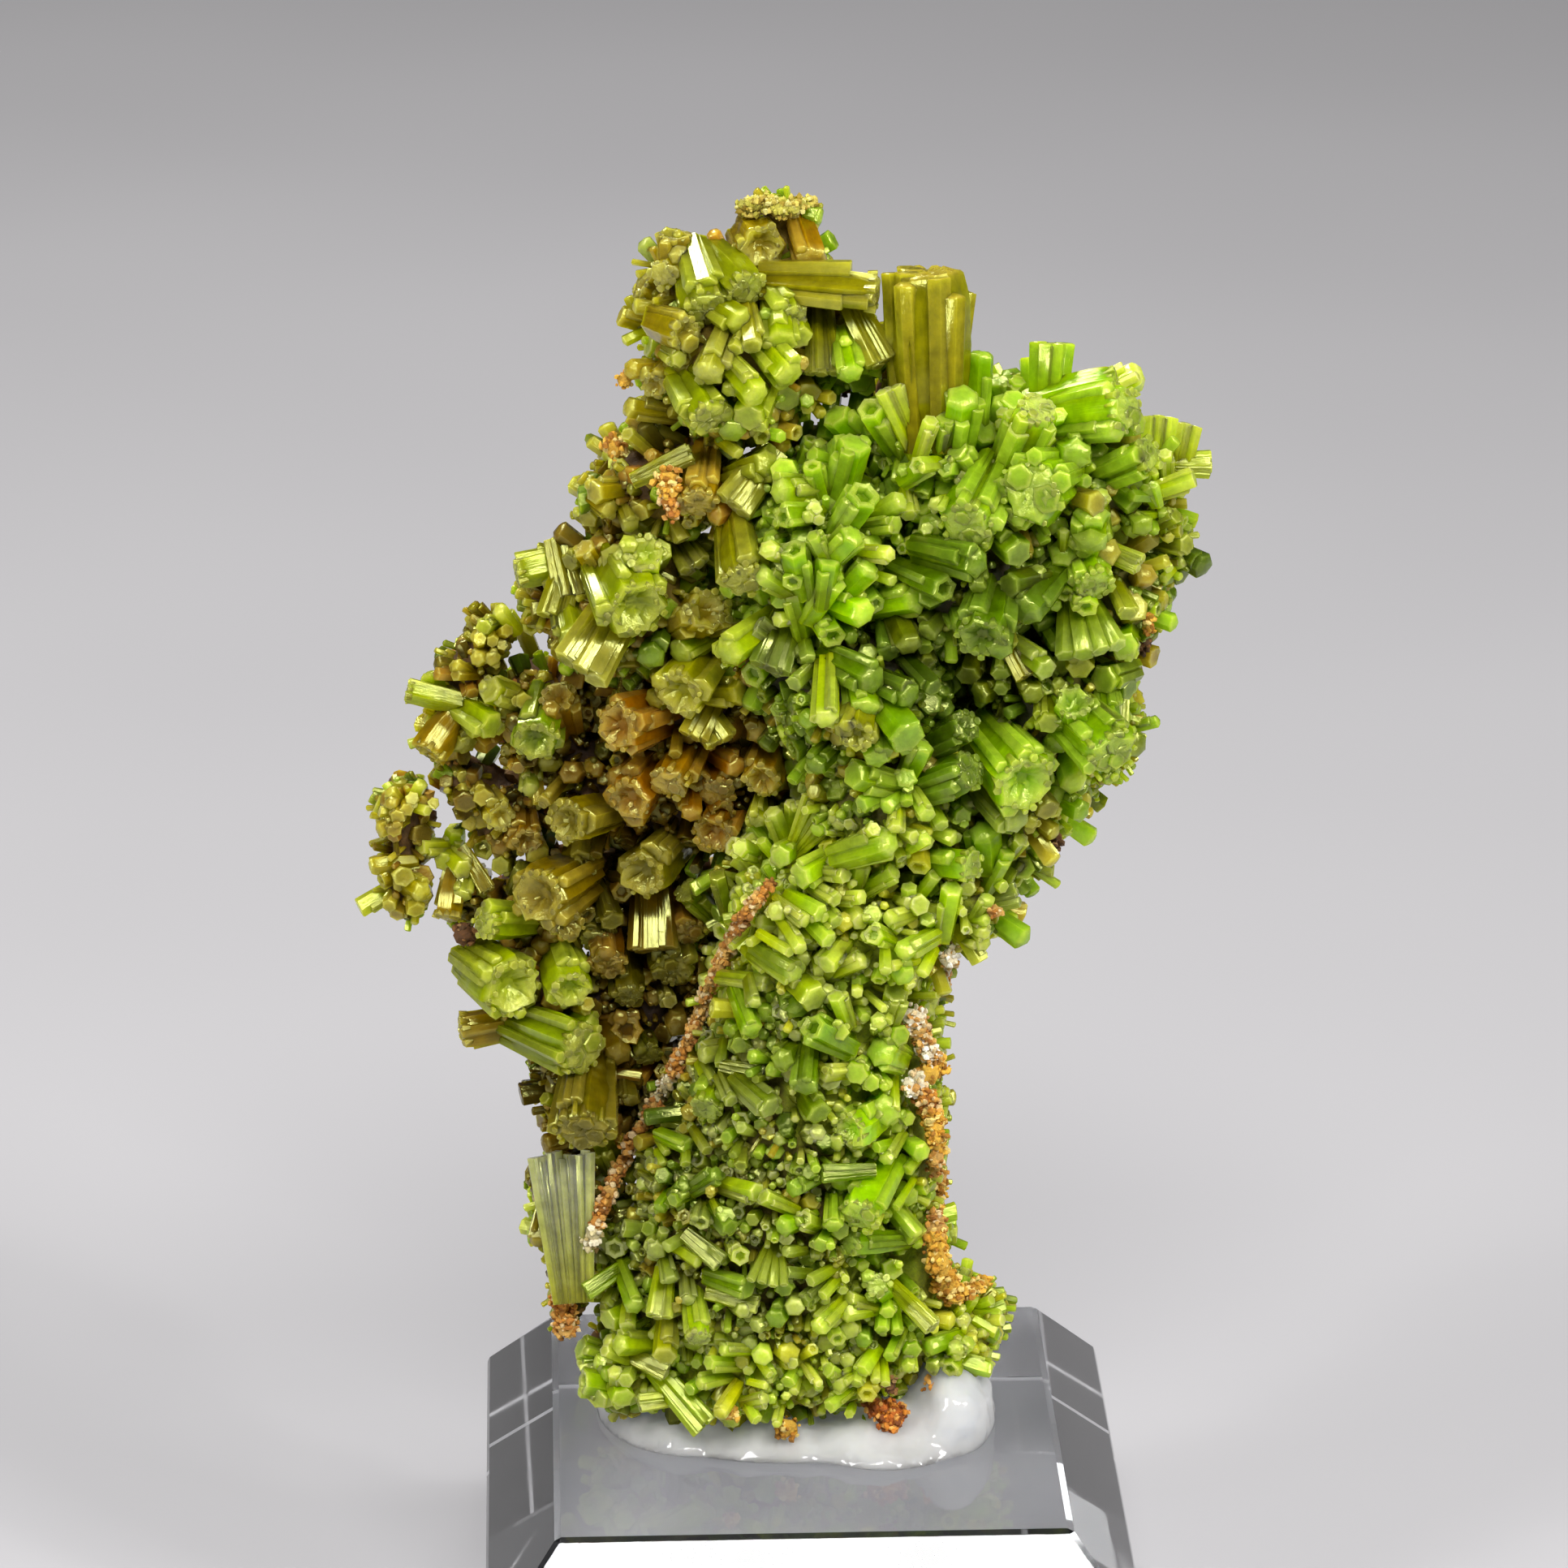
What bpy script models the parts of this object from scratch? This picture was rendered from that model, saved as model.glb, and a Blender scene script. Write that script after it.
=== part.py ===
"""A pyromorphite specimen held by clear gel on a bevelled clear block.

Metres, +Z up. The origin is the middle of the block's underside, and -Y is the side with the crystals.
Lumps and crystals are placed in a square frame of 1932 pixels, seen from the front and a little above.
Each place in that frame becomes a place in space through the sight line of its pixel.
"""

import math
from collections import namedtuple
from random import Random

import bmesh
import bpy
from mathutils import Matrix, Vector, noise
from mathutils.bvhtree import BVHTree

MM = 0.001

# Clear block
BLOCK_SIDE = 40.0 * MM
BLOCK_TOP_SIDE = 31.2 * MM
BLOCK_HEIGHT = 20.0 * MM
BLOCK_SLOPE_DROP = 5.2 * MM
BLOCK_EDGE = 0.25 * MM

# Sight lines of the front view
VIEW_TURN = math.radians(-2.2)
VIEW_DROP = math.radians(21.3)
VIEW_FOCAL_PX = 8145.0
VIEW_MIDDLE_PX = 966.0
EYE_FROM_BLOCK_TOP = (-1.27 * MM, 39.76 * MM, -414.6 * MM)
PX = 0.0495 * MM

# Specimen
FLOOR_GAP = 1.2 * MM
KNOB_UNEVEN = 0.25
FUSE_CELL = 0.85 * MM
SOFTEN_STEPS = 8
ROUGH_SIZE = 2.8 * MM
ROUGH_DEPTH = 0.7 * MM
BODY_TRIANGLES = 1900
SPECIMEN_TRIANGLES = 9200
CRYSTAL_SIDES = 6
CRYSTAL_EMBED = 1.1 * MM
CRYSTAL_LIFT = 0.35 * MM
BACK_CRYSTALS = 26
BACK_WIDTHS = (1.5 * MM, 2.6 * MM)
BACK_LENGTHS = (0.9 * MM, 2.0 * MM)
BACK_LEAN = 0.5
BACK_SEED = 11
BEHIND = 0.6

# Gel
GEL_GAP = 0.3 * MM
GEL_CELL = 0.6 * MM
GEL_TRIANGLES = 600
MOULD_TOP = 34.0 * MM
MOULD_CELL = 0.45 * MM
MOULD_GROWTH = 0.5 * MM

Lump = namedtuple("Lump", "x y depth width_r depth_r height_r")
Spot = namedtuple("Spot", "x y radius")
Crystal = namedtuple("Crystal", "x y across down out width shape")

# Where each lump of the body is centred in the frame, how far back it lies, and its half sizes in mm.
TOWER = [
    Lump(905, 440, 2.0, 5.5, 6.4, 6.0),
    Lump(832, 345, 2.5, 2.1, 3.0, 2.4),
    Lump(965, 335, 3.0, 2.9, 3.6, 3.0),
    Lump(946, 262, 3.0, 2.0, 2.1, 1.1),
    Lump(993, 262, 3.4, 1.1, 1.3, 1.1),
    Lump(1040, 430, 2.0, 2.8, 4.0, 3.4),
    Lump(818, 590, 2.2, 4.4, 4.8, 4.0),
    Lump(762, 618, 3.0, 2.6, 3.2, 2.6),
    Lump(1140, 530, 1.5, 4.2, 7.2, 4.2),
    Lump(1000, 640, 0.5, 6.0, 8.2, 5.2),
]
RIGHT_LOBE = [
    Lump(1270, 575, 1.0, 6.3, 7.6, 5.2),
    Lump(1385, 595, 1.5, 3.6, 5.2, 3.2),
    Lump(1190, 680, 0.5, 6.0, 8.8, 5.4),
    Lump(1352, 715, 1.5, 4.4, 6.8, 4.8),
    Lump(1290, 830, 1.5, 5.4, 7.8, 5.2),
    Lump(1350, 890, 2.0, 2.6, 5.6, 4.3),
    Lump(1436, 680, 1.5, 1.5, 2.6, 2.4),
    Lump(1238, 1045, 1.5, 2.5, 4.4, 2.6),
    Lump(1240, 955, 1.5, 5.3, 7.4, 4.6),
    Lump(1180, 1080, 1.0, 3.6, 6.6, 4.2),
]
MIDDLE = [
    Lump(1060, 830, 0.5, 6.5, 8.8, 5.8),
    Lump(1090, 960, 0.5, 5.8, 8.8, 5.2),
    Lump(960, 770, 1.5, 4.3, 6.6, 4.8),
]
LEFT_WING = [
    Lump(785, 740, 2.5, 4.8, 4.8, 5.2),
    Lump(695, 740, 3.5, 3.0, 3.5, 2.9),
    Lump(850, 860, 3.0, 4.4, 4.5, 4.8),
    Lump(668, 885, 4.5, 3.4, 3.5, 4.2),
    Lump(580, 830, 5.0, 2.0, 2.6, 3.0),
    Lump(552, 900, 5.0, 2.0, 2.4, 1.9),
    Lump(765, 960, 4.5, 4.4, 4.0, 4.2),
    Lump(850, 990, 4.5, 3.4, 4.0, 3.8),
    Lump(625, 1005, 5.5, 3.4, 3.0, 2.9),
    Lump(500, 1000, 5.5, 2.0, 2.3, 2.4),
    Lump(498, 1098, 5.5, 1.9, 2.2, 1.7),
    Lump(580, 1095, 5.5, 1.9, 2.4, 2.6),
    Lump(610, 778, 5.0, 1.9, 2.4, 1.5),
    Lump(572, 960, 5.2, 2.0, 2.4, 1.6),
    Lump(500, 1050, 5.5, 1.6, 2.0, 1.6),
    Lump(690, 1100, 5.0, 4.4, 3.8, 3.4),
    Lump(655, 1205, 4.5, 3.9, 3.8, 3.2),
    Lump(715, 1330, 3.5, 3.0, 4.0, 4.3),
    Lump(702, 1482, 2.0, 2.4, 4.3, 4.6),
]
RECESS = [
    Lump(805, 1100, 6.5, 4.8, 3.5, 5.2),
    Lump(795, 1230, 6.0, 4.3, 3.5, 4.8),
    Lump(785, 1345, 5.5, 3.4, 3.5, 4.0),
    Lump(930, 970, 4.0, 3.6, 4.0, 4.6),
]
PILLAR = [
    Lump(985, 1085, 0.5, 5.2, 7.8, 4.3),
    Lump(1080, 1120, 0.5, 4.7, 8.4, 4.8),
    Lump(1010, 1220, 0.5, 6.6, 8.2, 7.0),
    Lump(985, 1340, 0.5, 7.8, 8.4, 8.0),
    Lump(960, 1460, 0.5, 9.4, 8.4, 8.0),
    Lump(945, 1560, 1.0, 10.6, 8.2, 7.0),
    Lump(955, 1640, 1.0, 11.0, 7.8, 5.0),
    Lump(1122, 1270, 0.5, 1.7, 5.0, 6.0),
    Lump(1122, 1400, 0.5, 1.8, 5.5, 7.0),
    Lump(1125, 1540, 0.5, 1.9, 5.5, 6.0),
    Lump(704, 1606, 0.0, 1.3, 2.2, 2.0),
    Lump(1188, 1632, 0.5, 2.5, 4.4, 3.0),
    Lump(775, 1680, -1.0, 2.9, 4.5, 2.8),
    Lump(1216, 1602, 0.5, 1.2, 2.2, 1.5),
]

GEL_LUMPS = [
    Lump(975, 1742, 1.0, 11.6, 8.2, 2.5),
    Lump(1085, 1746, 0.5, 7.1, 8.9, 2.8),
    Lump(850, 1738, 1.5, 6.1, 7.4, 2.9),
    Lump(1172, 1730, -1.0, 2.7, 5.4, 4.2),
]

# Knobs of bare limonite, from top to bottom along the ridge, the right-hand edge and the foot
RIDGE_KNOBS = [
    Spot(948, 1092, 0.65),
    Spot(926, 1120, 0.75),
    Spot(903, 1158, 0.75),
    Spot(885, 1195, 0.7),
    Spot(868, 1232, 0.75),
    Spot(854, 1275, 0.7),
    Spot(836, 1318, 0.7),
    Spot(812, 1360, 0.7),
    Spot(786, 1402, 0.7),
    Spot(765, 1440, 0.8),
    Spot(744, 1492, 0.8),
    Spot(722, 1545, 0.75),
    Spot(700, 1592, 1.0),
    Spot(690, 1618, 1.1),
    Spot(702, 1640, 1.1),
]
EDGE_KNOBS = [
    Spot(1166, 1182, 0.9),
    Spot(1158, 1212, 0.8),
    Spot(1128, 1255, 1.0),
    Spot(1138, 1296, 0.8),
    Spot(1148, 1314, 0.8),
    Spot(1126, 1340, 0.8),
    Spot(1146, 1372, 0.8),
    Spot(1150, 1468, 0.8),
    Spot(1150, 1530, 0.8),
    Spot(1162, 1572, 0.9),
    Spot(1210, 1582, 0.6),
    Spot(1410, 762, 0.7),
    Spot(1400, 805, 0.7),
]
FOOT_KNOBS = [
    Spot(1090, 1744, 1.2),
    Spot(960, 1752, 0.7),
    Spot(760, 550, 0.7),
    Spot(818, 600, 0.9),
]

# Crystals: the tip in the frame, its way from the root across, down and out towards the viewer,
# the width and the shape, all but the shape in pixels.
TOWER_CRYSTALS = [
    Crystal(832, 291, 0, -24, 10, 46, "prism"),
    Crystal(816, 338, -8, 4, 16, 38, "barrel"),
    Crystal(872, 383, 14, 52, 30, 60, "barrel"),
    Crystal(920, 360, 26, 32, 34, 52, "barrel"),
    Crystal(938, 306, 6, 10, 22, 58, "barrel"),
    Crystal(1000, 322, 16, 50, 10, 44, "prism"),
    Crystal(846, 412, 24, 10, 16, 44, "barrel"),
    Crystal(985, 418, 6, 18, 20, 34, "prism"),
    Crystal(972, 395, 10, 16, 18, 48, "barrel"),
    Crystal(1014, 462, 2, 42, 14, 46, "prism"),
    Crystal(972, 463, 20, 24, 22, 42, "prism"),
    Crystal(932, 488, 20, 24, 24, 38, "prism"),
    Crystal(874, 462, -8, 22, 18, 42, "prism"),
    Crystal(874, 517, 15, 24, 22, 52, "barrel"),
    Crystal(922, 516, -8, 18, 20, 42, "prism"),
    Crystal(764, 390, -22, -6, 6, 27, "prism"),
    Crystal(790, 352, -14, -8, 8, 34, "prism"),
    Crystal(774, 503, -34, -4, 8, 28, "prism"),
    Crystal(1077, 360, 96, 8, 14, 54, "barrel"),
    Crystal(1085, 448, 22, 48, 16, 40, "prism"),
    Crystal(1143, 344, -4, -166, 6, 96, "barrel"),
    Crystal(1100, 362, -4, -100, 12, 28, "prism"),
    Crystal(1188, 356, 8, -80, 0, 30, "prism"),
    Crystal(1208, 440, 2, -56, 8, 34, "prism"),
    Crystal(1186, 492, 6, -46, 12, 44, "barrel"),
    Crystal(1096, 480, -24, -52, 8, 34, "prism"),
    Crystal(1072, 506, -24, -34, 12, 36, "prism"),
    Crystal(1028, 514, -26, -24, 12, 38, "prism"),
    Crystal(1052, 549, 14, -50, 16, 42, "prism"),
    Crystal(850, 558, 44, -22, 8, 28, "prism"),
    Crystal(860, 622, -6, 38, 26, 50, "barrel"),
    Crystal(903, 624, -26, 36, 16, 50, "slab"),
    Crystal(858, 662, 2, -14, 16, 44, "slab"),
    Crystal(858, 700, 10, 16, 16, 44, "slab"),
    Crystal(757, 681, -8, -10, 14, 40, "prism"),
    Crystal(812, 678, 24, -18, 26, 54, "barrel"),
    Crystal(732, 608, -14, 2, 10, 32, "prism"),
]
RIGHT_CRYSTALS = [
    Crystal(1295, 424, 4, -62, 6, 52, "slab"),
    Crystal(1373, 476, 66, -14, 12, 52, "barrel"),
    Crystal(1401, 464, 38, -18, 4, 42, "prism"),
    Crystal(1384, 508, 82, -8, 18, 60, "barrel"),
    Crystal(1396, 542, 42, 8, 6, 24, "prism"),
    Crystal(1427, 512, 2, -42, 2, 42, "prism"),
    Crystal(1466, 522, 10, -48, 2, 30, "prism"),
    Crystal(1492, 573, 36, 0, 2, 36, "prism"),
    Crystal(1412, 562, 54, -22, 14, 46, "barrel"),
    Crystal(1470, 590, 34, -12, 6, 28, "prism"),
    Crystal(1462, 672, 18, 4, 4, 36, "prism"),
    Crystal(1448, 634, 16, -10, 4, 34, "prism"),
    Crystal(1268, 608, -16, 8, 40, 88, "barrel"),
    Crystal(1276, 508, 26, -56, 14, 54, "barrel"),
    Crystal(1262, 522, 10, -40, 20, 40, "prism"),
    Crystal(1344, 633, 2, -24, 26, 44, "prism"),
    Crystal(1342, 670, -2, 22, 14, 46, "prism"),
    Crystal(1404, 697, 44, 20, 10, 30, "prism"),
    Crystal(1327, 562, 4, 4, 18, 42, "prism"),
    Crystal(1254, 684, 24, 24, 10, 42, "prism"),
    Crystal(1188, 650, -24, 48, 34, 78, "barrel"),
    Crystal(1202, 694, 50, 14, 14, 40, "prism"),
    Crystal(1304, 682, -6, -4, 20, 40, "prism"),
    Crystal(1347, 722, 12, 36, 18, 52, "barrel"),
    Crystal(1338, 750, 4, 18, 16, 34, "prism"),
    Crystal(1346, 810, 12, 52, 14, 62, "fan"),
    Crystal(1262, 754, -26, 30, 12, 44, "prism"),
    Crystal(1208, 788, -10, 36, 36, 64, "barrel"),
    Crystal(1330, 824, 0, 14, 16, 36, "prism"),
    Crystal(1384, 797, -2, 6, 18, 36, "prism"),
    Crystal(1358, 838, -12, 4, 18, 38, "prism"),
    Crystal(1396, 840, 14, 2, 12, 33, "prism"),
    Crystal(1365, 884, 2, 34, 10, 34, "prism"),
    Crystal(1321, 866, -4, -16, 26, 50, "prism"),
    Crystal(1368, 930, 40, 42, 30, 76, "barrel"),
    Crystal(1262, 966, 46, 58, 34, 84, "barrel"),
    Crystal(1252, 1010, 26, 26, 14, 42, "prism"),
    Crystal(1332, 1000, 14, 8, 8, 34, "prism"),
    Crystal(1211, 1024, -2, -16, 18, 42, "prism"),
    Crystal(1254, 1102, 24, -6, 4, 36, "prism"),
    Crystal(1243, 722, -16, 4, 12, 36, "prism"),
]
MIDDLE_CRYSTALS = [
    Crystal(960, 606, -30, 2, 10, 36, "prism"),
    Crystal(1064, 612, 26, -38, 14, 42, "prism"),
    Crystal(1050, 660, 14, -14, 16, 34, "prism"),
    Crystal(978, 678, -8, -36, 14, 34, "prism"),
    Crystal(1028, 718, 14, -20, 18, 34, "prism"),
    Crystal(1162, 727, 50, 24, 10, 34, "prism"),
    Crystal(1128, 738, 54, -8, 12, 38, "prism"),
    Crystal(1064, 756, 28, 12, 22, 38, "prism"),
    Crystal(1026, 786, 14, 24, 24, 34, "prism"),
    Crystal(948, 824, -10, 28, 12, 56, "slab"),
    Crystal(1121, 796, 12, 28, 10, 34, "prism"),
    Crystal(1074, 838, 36, 18, 20, 42, "prism"),
    Crystal(1017, 886, -2, 54, 14, 34, "prism"),
    Crystal(1065, 876, 6, 28, 10, 40, "prism"),
    Crystal(1055, 908, -6, 30, 18, 46, "barrel"),
    Crystal(1080, 934, 2, 24, 12, 34, "prism"),
    Crystal(1117, 910, 26, 34, 20, 50, "prism"),
    Crystal(1120, 858, 30, 14, 8, 34, "prism"),
    Crystal(1188, 894, 44, -24, 16, 40, "prism"),
    Crystal(1051, 954, -46, -12, 14, 36, "prism"),
    Crystal(1193, 950, 56, -20, 22, 50, "barrel"),
    Crystal(1016, 993, 34, -50, 16, 36, "prism"),
    Crystal(1094, 1038, 46, -14, 14, 44, "prism"),
    Crystal(985, 1080, -24, 14, 16, 40, "prism"),
    Crystal(1196, 1066, 50, 6, 12, 42, "prism"),
    Crystal(1172, 1094, 8, -54, 12, 34, "prism"),
    Crystal(938, 962, -10, 30, 14, 50, "barrel"),
]
WING_CRYSTALS = [
    Crystal(784, 752, 18, 30, 44, 84, "barrel"),
    Crystal(874, 742, 26, -28, 26, 58, "barrel"),
    Crystal(909, 756, 16, -6, 18, 36, "prism"),
    Crystal(918, 716, 8, 50, 14, 56, "barrel"),
    Crystal(704, 735, 6, 30, 10, 50, "prism"),
    Crystal(639, 706, -46, 10, 12, 42, "barrel"),
    Crystal(662, 682, -32, -6, 6, 30, "prism"),
    Crystal(686, 760, -4, 24, 14, 46, "prism"),
    Crystal(707, 785, 6, 24, 12, 40, "prism"),
    Crystal(716, 826, -34, 60, 22, 74, "slab"),
    Crystal(503, 850, -46, -12, 6, 34, "prism"),
    Crystal(604, 850, -18, -6, 20, 34, "prism"),
    Crystal(688, 858, -4, -14, 24, 44, "barrel"),
    Crystal(608, 896, 32, 20, 16, 38, "prism"),
    Crystal(528, 928, -16, 22, 8, 46, "barrel"),
    Crystal(662, 914, -6, 36, 30, 60, "barrel"),
    Crystal(760, 896, -48, 16, 26, 64, "barrel"),
    Crystal(838, 856, -26, 34, 30, 66, "barrel"),
    Crystal(838, 804, -18, 10, 14, 36, "prism"),
    Crystal(914, 854, 34, 2, 10, 34, "prism"),
    Crystal(897, 804, -38, 28, 14, 44, "prism"),
    Crystal(856, 908, -12, 26, 16, 40, "prism"),
    Crystal(890, 914, 20, 30, 10, 40, "prism"),
    Crystal(826, 966, -14, 26, 20, 54, "barrel"),
    Crystal(775, 986, -20, 26, 24, 62, "barrel"),
    Crystal(884, 978, 0, 10, 12, 50, "prism"),
    Crystal(891, 1004, 6, 14, 10, 34, "prism"),
    Crystal(457, 1065, -28, 2, 6, 26, "prism"),
    Crystal(443, 1120, -32, 20, 4, 26, "prism"),
    Crystal(522, 1100, 24, 14, 8, 30, "prism"),
    Crystal(552, 1132, -4, 26, 4, 36, "barrel"),
    Crystal(468, 1020, -14, 4, 8, 34, "prism"),
    Crystal(482, 984, -10, -8, 10, 36, "prism"),
    Crystal(617, 1008, 4, 6, 12, 38, "prism"),
    Crystal(650, 1038, 2, 14, 14, 42, "barrel"),
    Crystal(698, 1012, -38, 10, 20, 62, "barrel"),
    Crystal(712, 1078, -2, 20, 12, 48, "prism"),
    Crystal(664, 1104, -44, 24, 26, 80, "barrel"),
    Crystal(705, 1140, 26, 18, 16, 42, "prism"),
    Crystal(598, 1135, -52, -2, 14, 46, "prism"),
    Crystal(878, 1028, -6, 10, 14, 58, "barrel"),
    Crystal(792, 1078, -30, 32, 26, 68, "barrel"),
    Crystal(806, 1170, 2, 56, 12, 64, "slab"),
    Crystal(750, 1190, 4, 40, 14, 52, "barrel"),
    Crystal(706, 1220, 16, 36, 26, 58, "barrel"),
    Crystal(776, 1228, 4, 34, 6, 42, "prism"),
    Crystal(773, 1268, 0, 2, 18, 44, "barrel"),
    Crystal(636, 1216, 44, 26, 30, 80, "barrel"),
    Crystal(568, 1269, -50, 8, 6, 44, "prism"),
    Crystal(722, 1290, 82, 28, 20, 74, "barrel"),
    Crystal(718, 1396, -6, 76, 12, 86, "slab"),
    Crystal(665, 1378, -12, 0, 4, 34, "barrel"),
    Crystal(672, 1410, -12, 4, 4, 34, "barrel"),
    Crystal(739, 1396, -16, -40, 12, 34, "prism"),
    Crystal(692, 1414, -6, -110, 14, 76, "slab"),
    Crystal(664, 1470, -4, -60, 8, 36, "prism"),
    Crystal(676, 1528, -4, 36, 8, 36, "prism"),
    Crystal(846, 1095, -40, -40, 14, 33, "prism"),
]
PILLAR_CRYSTALS = [
    Crystal(926, 1268, 18, 44, 14, 36, "prism"),
    Crystal(979, 1200, 40, 24, 14, 33, "prism"),
    Crystal(1004, 1230, 30, 28, 10, 44, "prism"),
    Crystal(984, 1244, 8, 20, 8, 38, "prism"),
    Crystal(1000, 1264, -32, -18, 18, 42, "barrel"),
    Crystal(1103, 1222, 4, -14, 12, 36, "prism"),
    Crystal(1088, 1292, -4, -6, 18, 50, "prism"),
    Crystal(964, 1305, -8, 6, 20, 38, "prism"),
    Crystal(992, 1338, -4, 34, 14, 38, "prism"),
    Crystal(1054, 1322, -4, 4, 16, 34, "prism"),
    Crystal(1074, 1368, -4, -4, 20, 34, "prism"),
    Crystal(950, 1364, 32, 26, 12, 38, "prism"),
    Crystal(870, 1366, -6, 14, 16, 52, "barrel"),
    Crystal(1010, 1372, 6, 8, 12, 38, "prism"),
    Crystal(1092, 1368, 4, 4, 20, 46, "prism"),
    Crystal(1046, 1392, -28, 16, 20, 56, "barrel"),
    Crystal(1012, 1444, -50, 2, 16, 33, "slab"),
    Crystal(1058, 1496, -34, 56, 24, 64, "barrel"),
    Crystal(934, 1468, 36, 8, 14, 34, "prism"),
    Crystal(964, 1511, -16, 6, 16, 34, "prism"),
    Crystal(1046, 1530, -62, 0, 16, 38, "barrel"),
    Crystal(1080, 1580, -4, -8, 28, 40, "barrel"),
    Crystal(1152, 1636, 50, 48, 14, 33, "prism"),
    Crystal(945, 1582, -8, 40, 10, 36, "fan"),
    Crystal(783, 1608, 16, 38, 16, 34, "prism"),
    Crystal(721, 1591, -44, 28, 14, 33, "prism"),
    Crystal(812, 1624, -4, 32, 12, 40, "prism"),
    Crystal(862, 1646, 8, 46, 18, 36, "prism"),
    Crystal(936, 1606, 52, 10, 12, 33, "prism"),
    Crystal(890, 1555, 28, 22, 10, 34, "prism"),
    Crystal(762, 1654, -28, -2, 12, 34, "prism"),
    Crystal(823, 1690, 42, 18, 14, 33, "prism"),
    Crystal(720, 1699, -24, -6, 14, 44, "prism"),
    Crystal(735, 1722, -10, 8, 14, 42, "prism"),
    Crystal(714, 1660, -12, -4, 8, 36, "prism"),
    Crystal(870, 1756, 40, 44, 16, 42, "prism"),
    Crystal(1222, 1686, 40, 10, 10, 33, "prism"),
    Crystal(1170, 1686, -6, 12, 18, 33, "prism"),
    Crystal(1230, 1622, 18, -2, 4, 36, "prism"),
    Crystal(1208, 1184, 14, 22, 2, 34, "prism"),
    Crystal(1011, 1125, 30, 16, 10, 29, "prism"),
    Crystal(1021, 1158, 22, 22, 12, 28, "prism"),
    Crystal(1067, 1160, -28, 6, 14, 31, "prism"),
    Crystal(1110, 1172, -28, 14, 14, 30, "prism"),
    Crystal(1034, 1270, -2, -2, 22, 30, "prism"),
    Crystal(882, 1347, 16, 30, 10, 28, "prism"),
    Crystal(911, 1288, -2, 8, 16, 31, "prism"),
    Crystal(942, 1322, 36, 6, 10, 31, "prism"),
    Crystal(848, 1412, 32, 12, 10, 28, "prism"),
    Crystal(884, 1446, 18, -12, 12, 30, "prism"),
    Crystal(864, 1506, -2, 8, 14, 32, "prism"),
    Crystal(900, 1510, 10, 10, 12, 32, "prism"),
    Crystal(757, 1538, -4, 4, 14, 36, "prism"),
    Crystal(913, 1547, 4, 4, 16, 32, "prism"),
    Crystal(994, 1506, -2, 2, 18, 31, "prism"),
    Crystal(1027, 1508, 0, 14, 14, 30, "prism"),
    Crystal(976, 1464, -24, 10, 12, 31, "prism"),
    Crystal(1007, 1634, -28, 26, 12, 29, "prism"),
    Crystal(966, 1588, 2, 10, 14, 33, "prism"),
    Crystal(923, 1585, 40, 10, 10, 36, "prism"),
    Crystal(956, 1624, -4, 6, 14, 38, "prism"),
    Crystal(1124, 1664, 4, 10, 18, 31, "prism"),
    Crystal(1143, 1658, -28, 8, 12, 28, "prism"),
    Crystal(748, 1624, -20, 8, 12, 38, "prism"),
    Crystal(1058, 1690, -10, 14, 14, 30, "prism"),
    Crystal(1066, 1762, 4, 14, 14, 28, "prism"),
    Crystal(1021, 1731, -28, 20, 12, 28, "prism"),
]

# A crystal's outline from root to tip: shares of its length, each with a share of its half width
PROFILES = {
    "prism": [(0.0, 0.86), (1.0, 1.0)],
    "barrel": [(0.0, 0.74), (0.55, 1.0), (1.0, 0.86)],
    "fan": [(0.0, 0.6), (1.0, 1.0)],
    "slab": [(0.0, 0.9), (1.0, 1.0)],
}
SLAB_THICKNESS = 0.62


def sight_axes():
    """The front view's right, up and forward directions."""
    turn_sin = math.sin(VIEW_TURN)
    turn_cos = math.cos(VIEW_TURN)
    drop_sin = math.sin(VIEW_DROP)
    drop_cos = math.cos(VIEW_DROP)
    right = Vector((turn_cos, turn_sin, 0.0))
    up = Vector((-turn_sin * drop_sin, turn_cos * drop_sin, drop_cos))
    forward = Vector((-turn_sin * drop_cos, turn_cos * drop_cos, -drop_sin))
    return right, up, forward


RIGHT, UP, FORWARD = sight_axes()


def eye():
    """The front view's eye point."""
    across, above, back = EYE_FROM_BLOCK_TOP
    return Vector((0.0, 0.0, BLOCK_HEIGHT)) + RIGHT * across + UP * above + FORWARD * back


EYE = eye()


def sight(x, y):
    """The direction in which the pixel (x, y) of the frame looks."""
    across = (x - VIEW_MIDDLE_PX) / VIEW_FOCAL_PX
    down = (y - VIEW_MIDDLE_PX) / VIEW_FOCAL_PX
    return (FORWARD + RIGHT * across - UP * down).normalized()


def at_depth(x, y, depth):
    """The point that the pixel (x, y) shows at this distance along +Y."""
    direction = sight(x, y)
    return EYE + direction * ((depth - EYE.y) / direction.y)


def clear_scene():
    for obj in list(bpy.data.objects):
        bpy.data.objects.remove(obj)


def new_collection(name):
    collection = bpy.data.collections.new(name)
    bpy.context.scene.collection.children.link(collection)
    return collection


def new_object(name, bm, collection):
    """An object that holds what bm holds. bm is freed."""
    mesh = bpy.data.meshes.new(name)
    bm.to_mesh(mesh)
    bm.free()
    obj = bpy.data.objects.new(name, mesh)
    collection.objects.link(obj)
    return obj


def bake(obj):
    """Applies the object's modifiers to its mesh."""
    bpy.context.view_layer.update()
    graph = bpy.context.evaluated_depsgraph_get()
    mesh = bpy.data.meshes.new_from_object(obj.evaluated_get(graph))
    obj.modifiers.clear()
    obj.data = mesh


def remesh(obj, cell):
    modifier = obj.modifiers.new("Fuse", "REMESH")
    modifier.mode = "VOXEL"
    modifier.voxel_size = cell
    bake(obj)


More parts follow.
